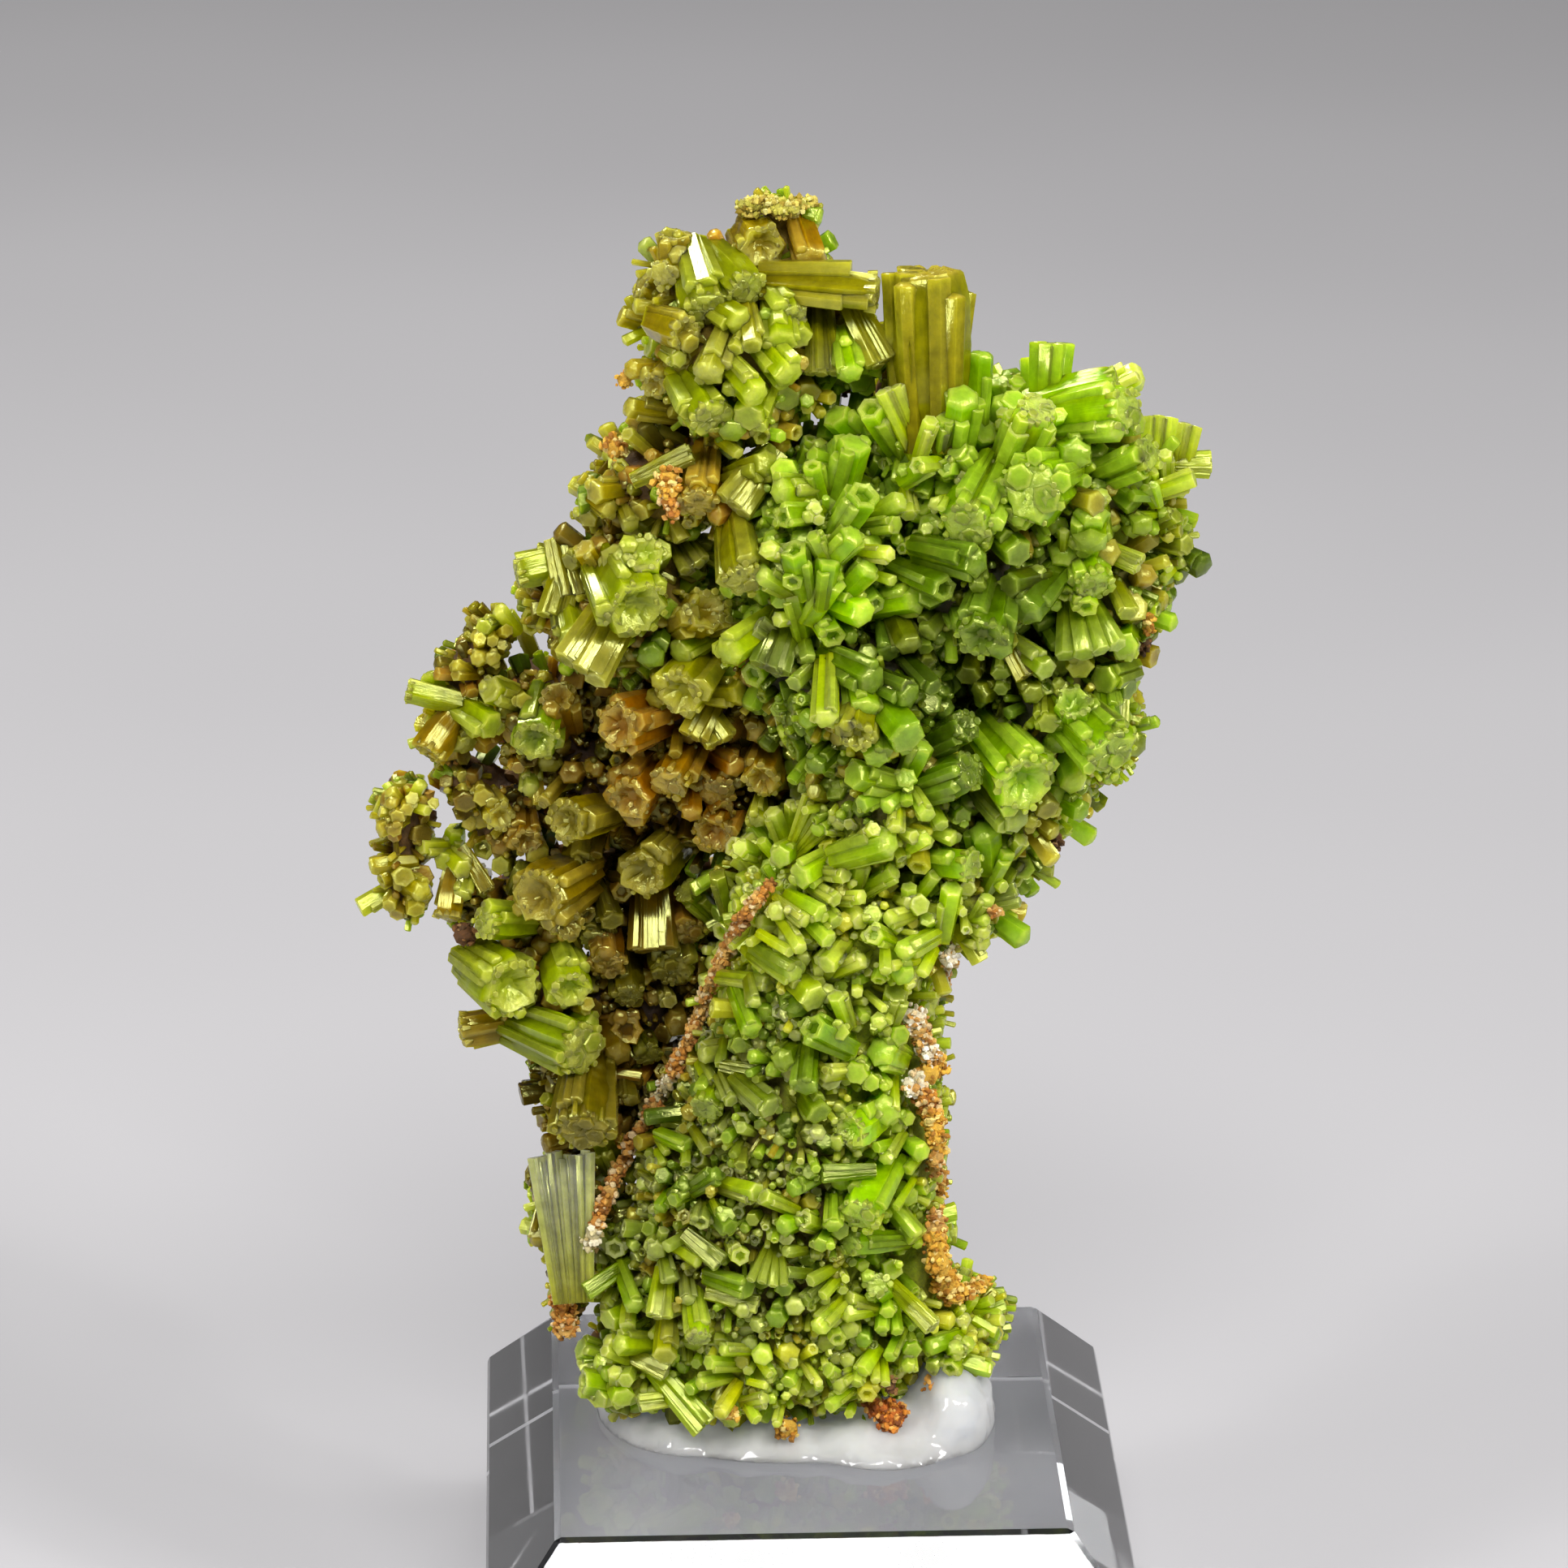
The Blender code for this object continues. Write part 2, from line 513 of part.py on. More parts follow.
def thin_out(obj, triangles):
    """Leaves about this many triangles."""
    bm = bmesh.new()
    bm.from_mesh(obj.data)
    bmesh.ops.triangulate(bm, faces=bm.faces)
    count = len(bm.faces)
    bm.to_mesh(obj.data)
    bm.free()
    modifier = obj.modifiers.new("Thin", "DECIMATE")
    modifier.ratio = min(1.0, triangles / count)
    bake(obj)


def join_with(obj, other, operation):
    modifier = obj.modifiers.new("Join", "BOOLEAN")
    modifier.operation = operation
    modifier.solver = "EXACT"
    modifier.object = other
    bake(obj)


def largest_body(obj):
    """Keeps the largest connected body of the mesh."""
    bm = bmesh.new()
    bm.from_mesh(obj.data)
    left = set(bm.verts)
    bodies = []
    while left:
        body = {left.pop()}
        edge_of_body = list(body)
        while edge_of_body:
            vertex = edge_of_body.pop()
            for edge in vertex.link_edges:
                other = edge.other_vert(vertex)
                if other in left:
                    left.discard(other)
                    body.add(other)
                    edge_of_body.append(other)
        bodies.append(body)
    bodies.sort(key=len)
    for body in bodies[:-1]:
        bmesh.ops.delete(bm, geom=list(body), context="VERTS")
    bm.to_mesh(obj.data)
    bm.free()


def material(name, colour, roughness, transmission=0.0, ior=1.5):
    made = bpy.data.materials.new(name)
    made.use_nodes = True
    shader = made.node_tree.nodes["Principled BSDF"]
    shader.inputs["Base Color"].default_value = (*colour, 1.0)
    shader.inputs["Roughness"].default_value = roughness
    shader.inputs["Transmission Weight"].default_value = transmission
    shader.inputs["IOR"].default_value = ior
    return made


def paint(obj, made):
    obj.data.materials.clear()
    obj.data.materials.append(made)


def build_block(collection):
    """The clear block: a square slab whose upper edges slope in to a smaller top face."""
    bm = bmesh.new()
    bmesh.ops.create_cube(bm, size=1.0)
    bmesh.ops.scale(bm, verts=bm.verts, vec=(BLOCK_SIDE, BLOCK_SIDE, BLOCK_HEIGHT))
    bmesh.ops.translate(bm, verts=bm.verts, vec=(0.0, 0.0, BLOCK_HEIGHT / 2))
    slope_share = 1.0 - BLOCK_SLOPE_DROP / BLOCK_HEIGHT
    for edge in list(bm.edges):
        low, high = sorted(edge.verts, key=lambda vertex: vertex.co.z)
        if high.co.z - low.co.z > BLOCK_HEIGHT / 2:
            bmesh.utils.edge_split(edge, low, slope_share)
    shoulder = BLOCK_HEIGHT - BLOCK_SLOPE_DROP
    ring = [v for v in bm.verts if abs(v.co.z - shoulder) < BLOCK_SLOPE_DROP / 10]
    bmesh.ops.connect_verts(bm, verts=ring)
    for vertex in bm.verts:
        if vertex.co.z > BLOCK_HEIGHT - BLOCK_SLOPE_DROP / 10:
            vertex.co.x *= BLOCK_TOP_SIDE / BLOCK_SIDE
            vertex.co.y *= BLOCK_TOP_SIDE / BLOCK_SIDE
    bmesh.ops.recalc_face_normals(bm, faces=bm.faces)
    block = new_object("acrylic_base", bm, collection)
    edge_round = block.modifiers.new("Edge", "BEVEL")
    edge_round.width = BLOCK_EDGE
    edge_round.segments = 1
    edge_round.limit_method = "ANGLE"
    edge_round.angle_limit = math.radians(20)
    return block


def new_lumps(name, lumps, collection):
    """One object with an ellipsoid for each lump."""
    bm = bmesh.new()
    for lump in lumps:
        middle = Matrix.Translation(at_depth(lump.x, lump.y, lump.depth * MM))
        size = Matrix.Diagonal((lump.width_r * MM, lump.depth_r * MM, lump.height_r * MM, 1.0))
        bmesh.ops.create_icosphere(bm, subdivisions=3, radius=1.0, matrix=middle @ size)
    return new_object(name, bm, collection)


def build_lumps(collection):
    """All lumps as one rough body with no inner walls."""
    lumps = TOWER + RIGHT_LOBE + MIDDLE + LEFT_WING + RECESS + PILLAR
    body = new_lumps("pyromorphite_specimen", lumps, collection)
    remesh(body, FUSE_CELL)
    soften(body.data, SOFTEN_STEPS)
    roughen(body.data, ROUGH_SIZE, ROUGH_DEPTH)
    return body


def soften(mesh, steps):
    """Rounds the creases where lumps meet."""
    bm = bmesh.new()
    bm.from_mesh(mesh)
    for _ in range(steps):
        bmesh.ops.smooth_vert(bm, verts=bm.verts, factor=0.5, use_axis_x=True, use_axis_y=True, use_axis_z=True)
    bm.to_mesh(mesh)
    bm.free()


def roughen(mesh, size, depth):
    """Moves each vertex along its normal by smooth noise, and keeps it above the gel."""
    lowest = BLOCK_HEIGHT + FLOOR_GAP
    moved = []
    for vertex in mesh.vertices:
        push = noise.fractal(vertex.co / size, 0.8, 2.0, 3) * depth
        moved.append(vertex.co + vertex.normal * push)
    for vertex, place in zip(mesh.vertices, moved):
        place.z = max(place.z, lowest)
        vertex.co = place


def surface_of(obj):
    bm = bmesh.new()
    bm.from_mesh(obj.data)
    tree = BVHTree.FromBMesh(bm)
    bm.free()
    return tree


def on_surface(tree, x, y):
    """The point of the body that the pixel (x, y) shows, or the one nearest its sight line."""
    direction = sight(x, y)
    hit = tree.ray_cast(EYE, direction)
    if hit[0] is not None:
        return hit[0]
    near = at_depth(x, y, -8 * MM)
    best = None
    for step in range(40):
        place = near + direction * (step * 0.5 * MM)
        found = tree.find_nearest(place)
        if best is None or found[3] < best[1]:
            best = (place, found[3])
    return best[0]


def add_crystal(bm, root, tip, width, shape):
    """A six-sided crystal from root to tip."""
    axis = tip - root
    turn = axis.to_track_quat("Z", "Y").to_matrix().to_4x4()
    rings = []
    for share, wide in PROFILES[shape]:
        ring = []
        for side in range(CRYSTAL_SIDES):
            angle = math.tau * (side + 0.5) / CRYSTAL_SIDES
            radius = width / 2 * wide
            flat = SLAB_THICKNESS if shape == "slab" else 1.0
            place = Vector((radius * math.cos(angle), radius * flat * math.sin(angle), 0.0))
            ring.append(bm.verts.new(root + axis * share + (turn @ place)))
        rings.append(ring)
    for lower, upper in zip(rings, rings[1:]):
        for side in range(CRYSTAL_SIDES):
            after = (side + 1) % CRYSTAL_SIDES
            bm.faces.new((lower[side], lower[after], upper[after], upper[side]))
    bm.faces.new(list(reversed(rings[0])))
    bm.faces.new(rings[-1])


def grow_crystals(body, collection):
    """Each crystal as its own helper object, rooted on the body."""
    tree = surface_of(body)
    lowest = BLOCK_HEIGHT + FLOOR_GAP
    rows = TOWER_CRYSTALS + RIGHT_CRYSTALS + MIDDLE_CRYSTALS + WING_CRYSTALS + PILLAR_CRYSTALS
    for number, row in enumerate(rows):
        way = RIGHT * row.across - UP * row.down - FORWARD * row.out
        way *= PX
        root = on_surface(tree, row.x - row.across, row.y - row.down) - FORWARD * CRYSTAL_LIFT
        tip = root + way
        root = root - way.normalized() * CRYSTAL_EMBED
        half_width = row.width * PX / 2
        tip.z = max(tip.z, lowest + half_width * 0.6)
        root.z = max(root.z, lowest + half_width)
        bm = bmesh.new()
        add_crystal(bm, root, tip, row.width * PX, row.shape)
        new_object(f"crystal_{number}", bm, collection)


def grow_back_crystals(body, collection):
    """A few stout crystals spread over the far side."""
    tree = surface_of(body)
    chance = Random(BACK_SEED)
    xs = [lump.x for lump in TOWER + RIGHT_LOBE + LEFT_WING]
    ys = [lump.y for lump in TOWER + PILLAR]
    for number in range(BACK_CRYSTALS):
        hit = None
        while hit is None or hit.z < MOULD_TOP:
            direction = sight(chance.uniform(min(xs), max(xs)), chance.uniform(min(ys), max(ys)))
            hit, normal = tree.ray_cast(EYE + direction * BEHIND, -direction)[:2]
        lean = Vector([chance.uniform(-BACK_LEAN, BACK_LEAN) for _ in range(3)])
        way = (normal + lean).normalized()
        tip = hit + way * chance.uniform(*BACK_LENGTHS)
        root = hit - way * CRYSTAL_EMBED
        bm = bmesh.new()
        add_crystal(bm, root, tip, chance.uniform(*BACK_WIDTHS), "prism")
        new_object(f"back_crystal_{number}", bm, collection)


def grow_knobs(body, collection):
    """The knobs of bare limonite, as helper objects."""
    tree = surface_of(body)
    for number, spot in enumerate(RIDGE_KNOBS + EDGE_KNOBS + FOOT_KNOBS):
        bm = bmesh.new()
        radius = spot.radius * MM
        middle = on_surface(tree, spot.x, spot.y)
        middle.z = max(middle.z, BLOCK_HEIGHT + FLOOR_GAP + radius)
        bmesh.ops.create_icosphere(bm, subdivisions=1, radius=radius, matrix=Matrix.Translation(middle))
        for vertex in bm.verts:
            vertex.co += noise.noise_vector(vertex.co / MM) * radius * KNOB_UNEVEN
        new_object(f"knob_{number}", bm, collection)


def build_specimen(collection, helpers):
    """The lumps, knobs and crystals, joined into one solid."""
    body = build_lumps(collection)
    thin_out(body, BODY_TRIANGLES)
    grow_knobs(body, helpers)
    grow_crystals(body, helpers)
    grow_back_crystals(body, helpers)
    modifier = body.modifiers.new("Join", "BOOLEAN")
    modifier.operation = "UNION"
    modifier.solver = "EXACT"
    modifier.operand_type = "COLLECTION"
    modifier.collection = helpers
    bake(body)
    largest_body(body)
    remove_all(helpers)
    thin_out(body, SPECIMEN_TRIANGLES)
    return body


def remove_all(helpers):
    for helper in list(helpers.objects):
        bpy.data.objects.remove(helper)


def build_gel(specimen, collection, helpers):
    """The clear gel: a puddle on the block, hollowed where the specimen's foot stands in it."""
    gel = new_lumps("mounting_gel", GEL_LUMPS, collection)
    remesh(gel, GEL_CELL)
    soften(gel.data, SOFTEN_STEPS)
    cut_flat(gel, BLOCK_HEIGHT + GEL_GAP, (0.0, 0.0, 1.0))
    join_with(gel, foot_mould(specimen, helpers), "DIFFERENCE")
    largest_body(gel)
    thin_out(gel, GEL_TRIANGLES)
    return gel


def cut_flat(obj, height, kept_side):
    """Cuts the object off flat at this height and keeps the side that kept_side points to."""
    bm = bmesh.new()
    bm.from_mesh(obj.data)
    everything = bm.verts[:] + bm.edges[:] + bm.faces[:]
    plane = {"plane_co": (0.0, 0.0, height), "plane_no": kept_side}
    cut = bmesh.ops.bisect_plane(bm, geom=everything, clear_inner=True, **plane)
    rim = [item for item in cut["geom_cut"] if isinstance(item, bmesh.types.BMEdge)]
    bmesh.ops.holes_fill(bm, edges=rim)
    bm.to_mesh(obj.data)
    bm.free()


def foot_mould(specimen, helpers):
    """The specimen's foot, a little larger all round."""
    mould = bpy.data.objects.new("foot_mould", specimen.data.copy())
    mould.display_type = "WIRE"
    helpers.objects.link(mould)
    cut_flat(mould, MOULD_TOP, (0.0, 0.0, -1.0))
    remesh(mould, MOULD_CELL)
    moved = [vertex.co + vertex.normal * MOULD_GROWTH for vertex in mould.data.vertices]
    for vertex, place in zip(mould.data.vertices, moved):
        vertex.co = place
    remesh(mould, MOULD_CELL)
    return mould


def main():
    clear_scene()
    specimen_parts = new_collection("pyromorphite_specimen_on_block")
    helpers = new_collection("helpers")
    helpers.hide_render = True
    block = build_block(specimen_parts)
    paint(block, material("clear_acrylic", (0.95, 0.96, 0.97), 0.04, 1.0, 1.49))
    body = build_specimen(specimen_parts, helpers)
    paint(body, material("pyromorphite", (0.29, 0.38, 0.02), 0.35))
    gel = build_gel(body, specimen_parts, helpers)
    paint(gel, material("mounting_gel", (0.86, 0.88, 0.90), 0.15, 0.8, 1.41))
    remove_all(helpers)


main()
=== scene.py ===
import math
from collections import namedtuple
from random import Random

import bmesh
import bpy
import numpy as np
from mathutils import Matrix, Vector, noise
from mathutils.bvhtree import BVHTree
from mathutils.kdtree import KDTree


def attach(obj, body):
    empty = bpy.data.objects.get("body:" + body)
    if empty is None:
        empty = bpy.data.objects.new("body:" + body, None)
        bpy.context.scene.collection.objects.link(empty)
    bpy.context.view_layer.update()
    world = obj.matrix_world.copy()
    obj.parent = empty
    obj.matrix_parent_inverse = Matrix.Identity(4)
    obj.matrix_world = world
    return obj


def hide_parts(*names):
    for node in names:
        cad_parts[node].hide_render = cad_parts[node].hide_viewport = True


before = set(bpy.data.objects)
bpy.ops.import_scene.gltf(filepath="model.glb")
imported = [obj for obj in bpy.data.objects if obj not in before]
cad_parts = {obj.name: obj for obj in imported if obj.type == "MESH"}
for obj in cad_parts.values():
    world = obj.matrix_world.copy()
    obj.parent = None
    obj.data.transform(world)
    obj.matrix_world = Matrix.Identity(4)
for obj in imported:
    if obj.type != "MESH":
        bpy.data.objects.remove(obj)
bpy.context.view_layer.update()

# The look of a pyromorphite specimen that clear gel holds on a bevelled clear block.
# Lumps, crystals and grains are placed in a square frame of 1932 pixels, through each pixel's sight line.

MM = 0.001

# The seed of every draw, how many seeds a crystal's form is drawn from, and a share that counts as nothing
SEED = 7
SEEDS = 1 << 30
TINY = 1e-9

Zone = namedtuple("Zone", "x y radius kind")
Kind = namedtuple("Kind", "widths lengths tones cover ground")
Crystal = namedtuple("Crystal", "form root axis radius length tone")
Bundle = namedtuple("Bundle", "members near far spread shortest fullness uneven")
Ribs = namedtuple("Ribs", "count widths shortest")

# The photograph's view, and the size of one of its pixels at the specimen
VIEW_TURN = math.radians(-2.2)
VIEW_DROP = math.radians(21.3)
FOCAL_PX = 8145.0
FRAME_PX = 1932.0
MIDDLE_PX = FRAME_PX / 2
SENSOR_MM = 36.0
CLIP_START = 0.01
BLOCK_HEIGHT = 20.0 * MM
EYE_FROM_BLOCK_TOP = (-1.27 * MM, 39.76 * MM, -414.6 * MM)
PX = 0.0495 * MM
NEAR_DEPTH = -8 * MM
SEARCH_STEPS = 40
SEARCH_STEP = 0.5 * MM

# How low the skin, the crust's tips, the druse and the far side's grains may reach
FLOOR_GAP = 1.2 * MM
LOWEST = BLOCK_HEIGHT + FLOOR_GAP
LOWEST_TIP = BLOCK_HEIGHT + FLOOR_GAP * 0.7
LOWEST_DRUSE = BLOCK_HEIGHT + FLOOR_GAP * 1.2
LOWEST_BACK_GRAIN = BLOCK_HEIGHT + FLOOR_GAP * 1.3

# The specimen's skin, where the smallest crystals end. Fractal noise has a roughness, a step and its octaves
FUSE_CELL = 0.85 * MM
SOFTEN_STEPS = 8
SOFTENING = 0.5
ROUGH_SIZE = 2.8 * MM
ROUGH_DEPTH = 0.7 * MM
ROUGH_NOISE = (0.8, 2.0, 3)
LUMP_DETAIL = 3

# The rock under the skin: how far its lumps are drawn in, how small they may get, and its relief
CRUST = 0.95 * MM
LEAST_SHARE = 0.75
ROCK_CELL = 0.55 * MM
ROCK_SOFTEN_STEPS = 10
ROCK_ROUGH_SIZE = 1.1 * MM
ROCK_ROUGH_DEPTH = 0.3 * MM

# The bare far side: how far the rock comes out, its crags and its patches of colour
BACK_TURN = 1.6
BACK_LIFT = 0.9 * MM
CRAG_SIZE = 3.0 * MM
CRAG_MIDDLE = 1.2
CRAG_DEPTH = 0.85 * MM
CRAG_NOISE = (0.9, 2.1, 4, 1.0, 2.0)
BACK_PATCH = 4.5 * MM
BACK_CONTRAST = 1.6
BACK_GROUNDS = [(176, 122, 52), (54, 36, 22)]
PATCH_NOISE = (0.9, 2.0, 3)

# The gel
GEL_GAP = 0.3 * MM
GEL_BOTTOM = BLOCK_HEIGHT + GEL_GAP * 1.2
GEL_CELL = 0.28 * MM
GEL_SOFTEN_STEPS = SOFTEN_STEPS * 3
GEL_RIPPLE_SIZE = 2.4 * MM
GEL_RIPPLE_DEPTH = 0.28 * MM

# Where each lump of the body is centred in the frame, how far back it lies, and its half sizes in mm
TOWER = [
    (905, 440, 2.0, 5.5, 6.4, 6.0), (832, 345, 2.5, 2.1, 3.0, 2.4), (965, 335, 3.0, 2.9, 3.6, 3.0),
    (946, 262, 3.0, 2.0, 2.1, 1.1), (993, 262, 3.4, 1.1, 1.3, 1.1), (1040, 430, 2.0, 2.8, 4.0, 3.4),
    (818, 590, 2.2, 4.4, 4.8, 4.0), (762, 618, 3.0, 2.6, 3.2, 2.6), (1140, 530, 1.5, 4.2, 7.2, 4.2),
    (1000, 640, 0.5, 6.0, 8.2, 5.2),
]
RIGHT_LOBE = [
    (1270, 575, 1.0, 6.3, 7.6, 5.2), (1385, 595, 1.5, 3.6, 5.2, 3.2), (1190, 680, 0.5, 6.0, 8.8, 5.4),
    (1352, 715, 1.5, 4.4, 6.8, 4.8), (1290, 830, 1.5, 5.4, 7.8, 5.2), (1350, 890, 2.0, 2.6, 5.6, 4.3),
    (1436, 680, 1.5, 1.5, 2.6, 2.4), (1238, 1045, 1.5, 2.5, 4.4, 2.6), (1240, 955, 1.5, 5.3, 7.4, 4.6),
    (1180, 1080, 1.0, 3.6, 6.6, 4.2),
]
MIDDLE = [
    (1060, 830, 0.5, 6.5, 8.8, 5.8), (1090, 960, 0.5, 5.8, 8.8, 5.2), (960, 770, 1.5, 4.3, 6.6, 4.8),
]
LEFT_WING = [
    (785, 740, 2.5, 4.8, 4.8, 5.2), (695, 740, 3.5, 3.0, 3.5, 2.9), (850, 860, 3.0, 4.4, 4.5, 4.8),
    (668, 885, 4.5, 3.4, 3.5, 4.2), (580, 830, 5.0, 2.0, 2.6, 3.0), (552, 900, 5.0, 2.0, 2.4, 1.9),
    (765, 960, 4.5, 4.4, 4.0, 4.2), (850, 990, 4.5, 3.4, 4.0, 3.8), (625, 1005, 5.5, 3.4, 3.0, 2.9),
    (500, 1000, 5.5, 2.0, 2.3, 2.4), (498, 1098, 5.5, 1.9, 2.2, 1.7), (580, 1095, 5.5, 1.9, 2.4, 2.6),
    (610, 778, 5.0, 1.9, 2.4, 1.5), (572, 960, 5.2, 2.0, 2.4, 1.6), (500, 1050, 5.5, 1.6, 2.0, 1.6),
    (690, 1100, 5.0, 4.4, 3.8, 3.4), (655, 1205, 4.5, 3.9, 3.8, 3.2), (715, 1330, 3.5, 3.0, 4.0, 4.3),
    (702, 1482, 2.0, 2.4, 4.3, 4.6),
]
RECESS = [
    (805, 1100, 6.5, 4.8, 3.5, 5.2), (795, 1230, 6.0, 4.3, 3.5, 4.8), (785, 1345, 5.5, 3.4, 3.5, 4.0),
    (930, 970, 4.0, 3.6, 4.0, 4.6),
]
PILLAR = [
    (985, 1085, 0.5, 5.2, 7.8, 4.3), (1080, 1120, 0.5, 4.7, 8.4, 4.8), (1010, 1220, 0.5, 6.6, 8.2, 7.0),
    (985, 1340, 0.5, 7.8, 8.4, 8.0), (960, 1460, 0.5, 9.4, 8.4, 8.0), (945, 1560, 1.0, 10.6, 8.2, 7.0),
    (955, 1640, 1.0, 11.0, 7.8, 5.0), (1122, 1270, 0.5, 1.7, 5.0, 6.0), (1122, 1400, 0.5, 1.8, 5.5, 7.0),
    (1125, 1540, 0.5, 1.9, 5.5, 6.0), (704, 1606, 0.0, 1.3, 2.2, 2.0), (1188, 1632, 0.5, 2.5, 4.4, 3.0),
    (775, 1680, -1.0, 2.9, 4.5, 2.8), (1216, 1602, 0.5, 1.2, 2.2, 1.5),
]
FILLERS = [
    (742, 852, 4.5, 2.2, 2.8, 2.4), (868, 1190, 4.5, 2.2, 2.5, 3.2), (728, 1228, 4.5, 2.4, 2.6, 2.6),
    (700, 1285, 3.5, 2.4, 2.6, 2.4), (750, 1510, 2.5, 2.4, 3.0, 3.4),
]
BODY_LUMPS = TOWER + RIGHT_LOBE + MIDDLE + LEFT_WING + RECESS + PILLAR + FILLERS
GEL_LUMPS = [
    (975, 1742, 1.0, 11.6, 8.2, 2.5), (1085, 1746, 0.5, 7.1, 8.9, 2.8), (850, 1738, 1.5, 6.1, 7.4, 2.9),
    (1172, 1730, -1.0, 2.7, 5.4, 4.2),
]

# Crystals that stand out singly: the tip in the frame, its way from the root across, down and out
# towards the viewer, the width, all in pixels, then the letters of the tone and the shape: p prism,
# h hollow end, b barrel, t barrel set further back, c barrel with a cratered end, s slab of parallel
# crystals, f fan of crystals, w wedge of many thin crystals
TOWER_CRYSTALS = [
    (824, 293, -6, -10, 22, 27, "Op"), (832, 291, 0, -24, 10, 44, "Oc"), (832, 317, -4, -4, 22, 28, "Op"),
    (816, 340, -8, 4, 16, 38, "Ob"), (872, 383, 14, 52, 30, 60, "Fb"), (920, 360, 26, 32, 34, 52, "Fb"),
    (912, 398, 18, 12, 14, 36, "Fp"), (938, 306, 6, 10, 22, 60, "Oc"), (1000, 322, 16, 50, 10, 44, "Ap"),
    (906, 432, -8, 18, 10, 20, "Pp"), (926, 428, 4, 24, 16, 30, "Gp"), (846, 412, 24, 10, 16, 44, "Oc"),
    (852, 425, 14, 10, 14, 26, "Op"), (985, 418, 6, 18, 20, 34, "Lp"), (972, 395, 10, 16, 18, 48, "Lb"),
    (962, 425, 4, 40, 14, 40, "Lp"), (1014, 462, 2, 42, 14, 46, "Os"), (972, 463, 20, 24, 22, 42, "Lp"),
    (932, 488, 20, 24, 24, 38, "Lp"), (874, 462, -8, 22, 18, 42, "Gp"), (890, 450, 2, 20, 8, 16, "Pp"),
    (838, 444, 6, 4, 12, 22, "Pp"), (853, 484, 29, 26, 8, 13, "Pp"), (874, 517, 15, 24, 22, 52, "Lb"),
    (922, 516, -8, 18, 20, 42, "Lp"), (898, 482, -4, 6, 10, 20, "Fp"), (996, 488, 2, -10, 14, 18, "Fp"),
    (994, 505, -4, 8, 12, 18, "Op"), (1025, 492, 16, 4, 8, 18, "Op"), (1012, 511, 8, 10, 8, 16, "Op"),
    (778, 367, -6, -18, 4, 16, "Op"), (764, 390, -22, -6, 6, 27, "Op"), (790, 352, -14, -8, 8, 34, "Oc"),
    (770, 421, -16, 8, 4, 16, "Pp"), (793, 462, -14, -2, 6, 22, "Op"), (806, 478, -6, 10, 10, 34, "Oc"),
    (797, 350, -10, -4, 4, 14, "Pp"), (774, 503, -34, -4, 8, 28, "Op"), (781, 523, -8, 10, 6, 26, "Ap"),
    (1077, 360, 96, 8, 14, 52, "Ob"), (1085, 448, 22, 48, 16, 40, "Os"), (1048, 463, 6, 30, 16, 34, "Lp"),
    (1143, 344, -4, -162, 34, 98, "Tt"), (1100, 362, -4, -100, 12, 28, "Op"),
    (1188, 356, 8, -80, 0, 30, "Os"), (1208, 440, 2, -56, 8, 34, "Fp"), (1186, 492, 6, -46, 12, 44, "Lp"),
    (1166, 516, 4, -20, 12, 26, "Lp"), (1096, 480, -24, -52, 8, 34, "Ps"),
    (1072, 506, -24, -34, 12, 36, "Lh"), (1028, 514, -26, -24, 12, 38, "Lp"),
    (1020, 551, -20, -6, 10, 26, "Lp"), (1001, 561, -22, -6, 8, 22, "Lp"),
    (1052, 549, 14, -50, 16, 42, "Lp"), (1001, 575, -8, -24, 12, 24, "Lh"),
    (1146, 521, 12, -36, 8, 22, "Pp"), (1129, 574, -14, 2, 16, 23, "Lh"), (1142, 572, 12, -8, 10, 26, "Lp"),
    (1108, 584, -4, 2, 10, 16, "Lp"), (1164, 577, -10, 0, 18, 26, "Lh"),
    (1178, 555, -14, -18, 16, 34, "Lp"), (1187, 591, -2, 4, 12, 20, "Pp"),
    (1234, 508, -4, -14, 8, 18, "Pp"), (1226, 521, -6, -4, 8, 16, "Pp"), (1230, 470, -4, -14, 6, 26, "Lp"),
    (1254, 470, 4, -12, 6, 22, "Lp"),
]
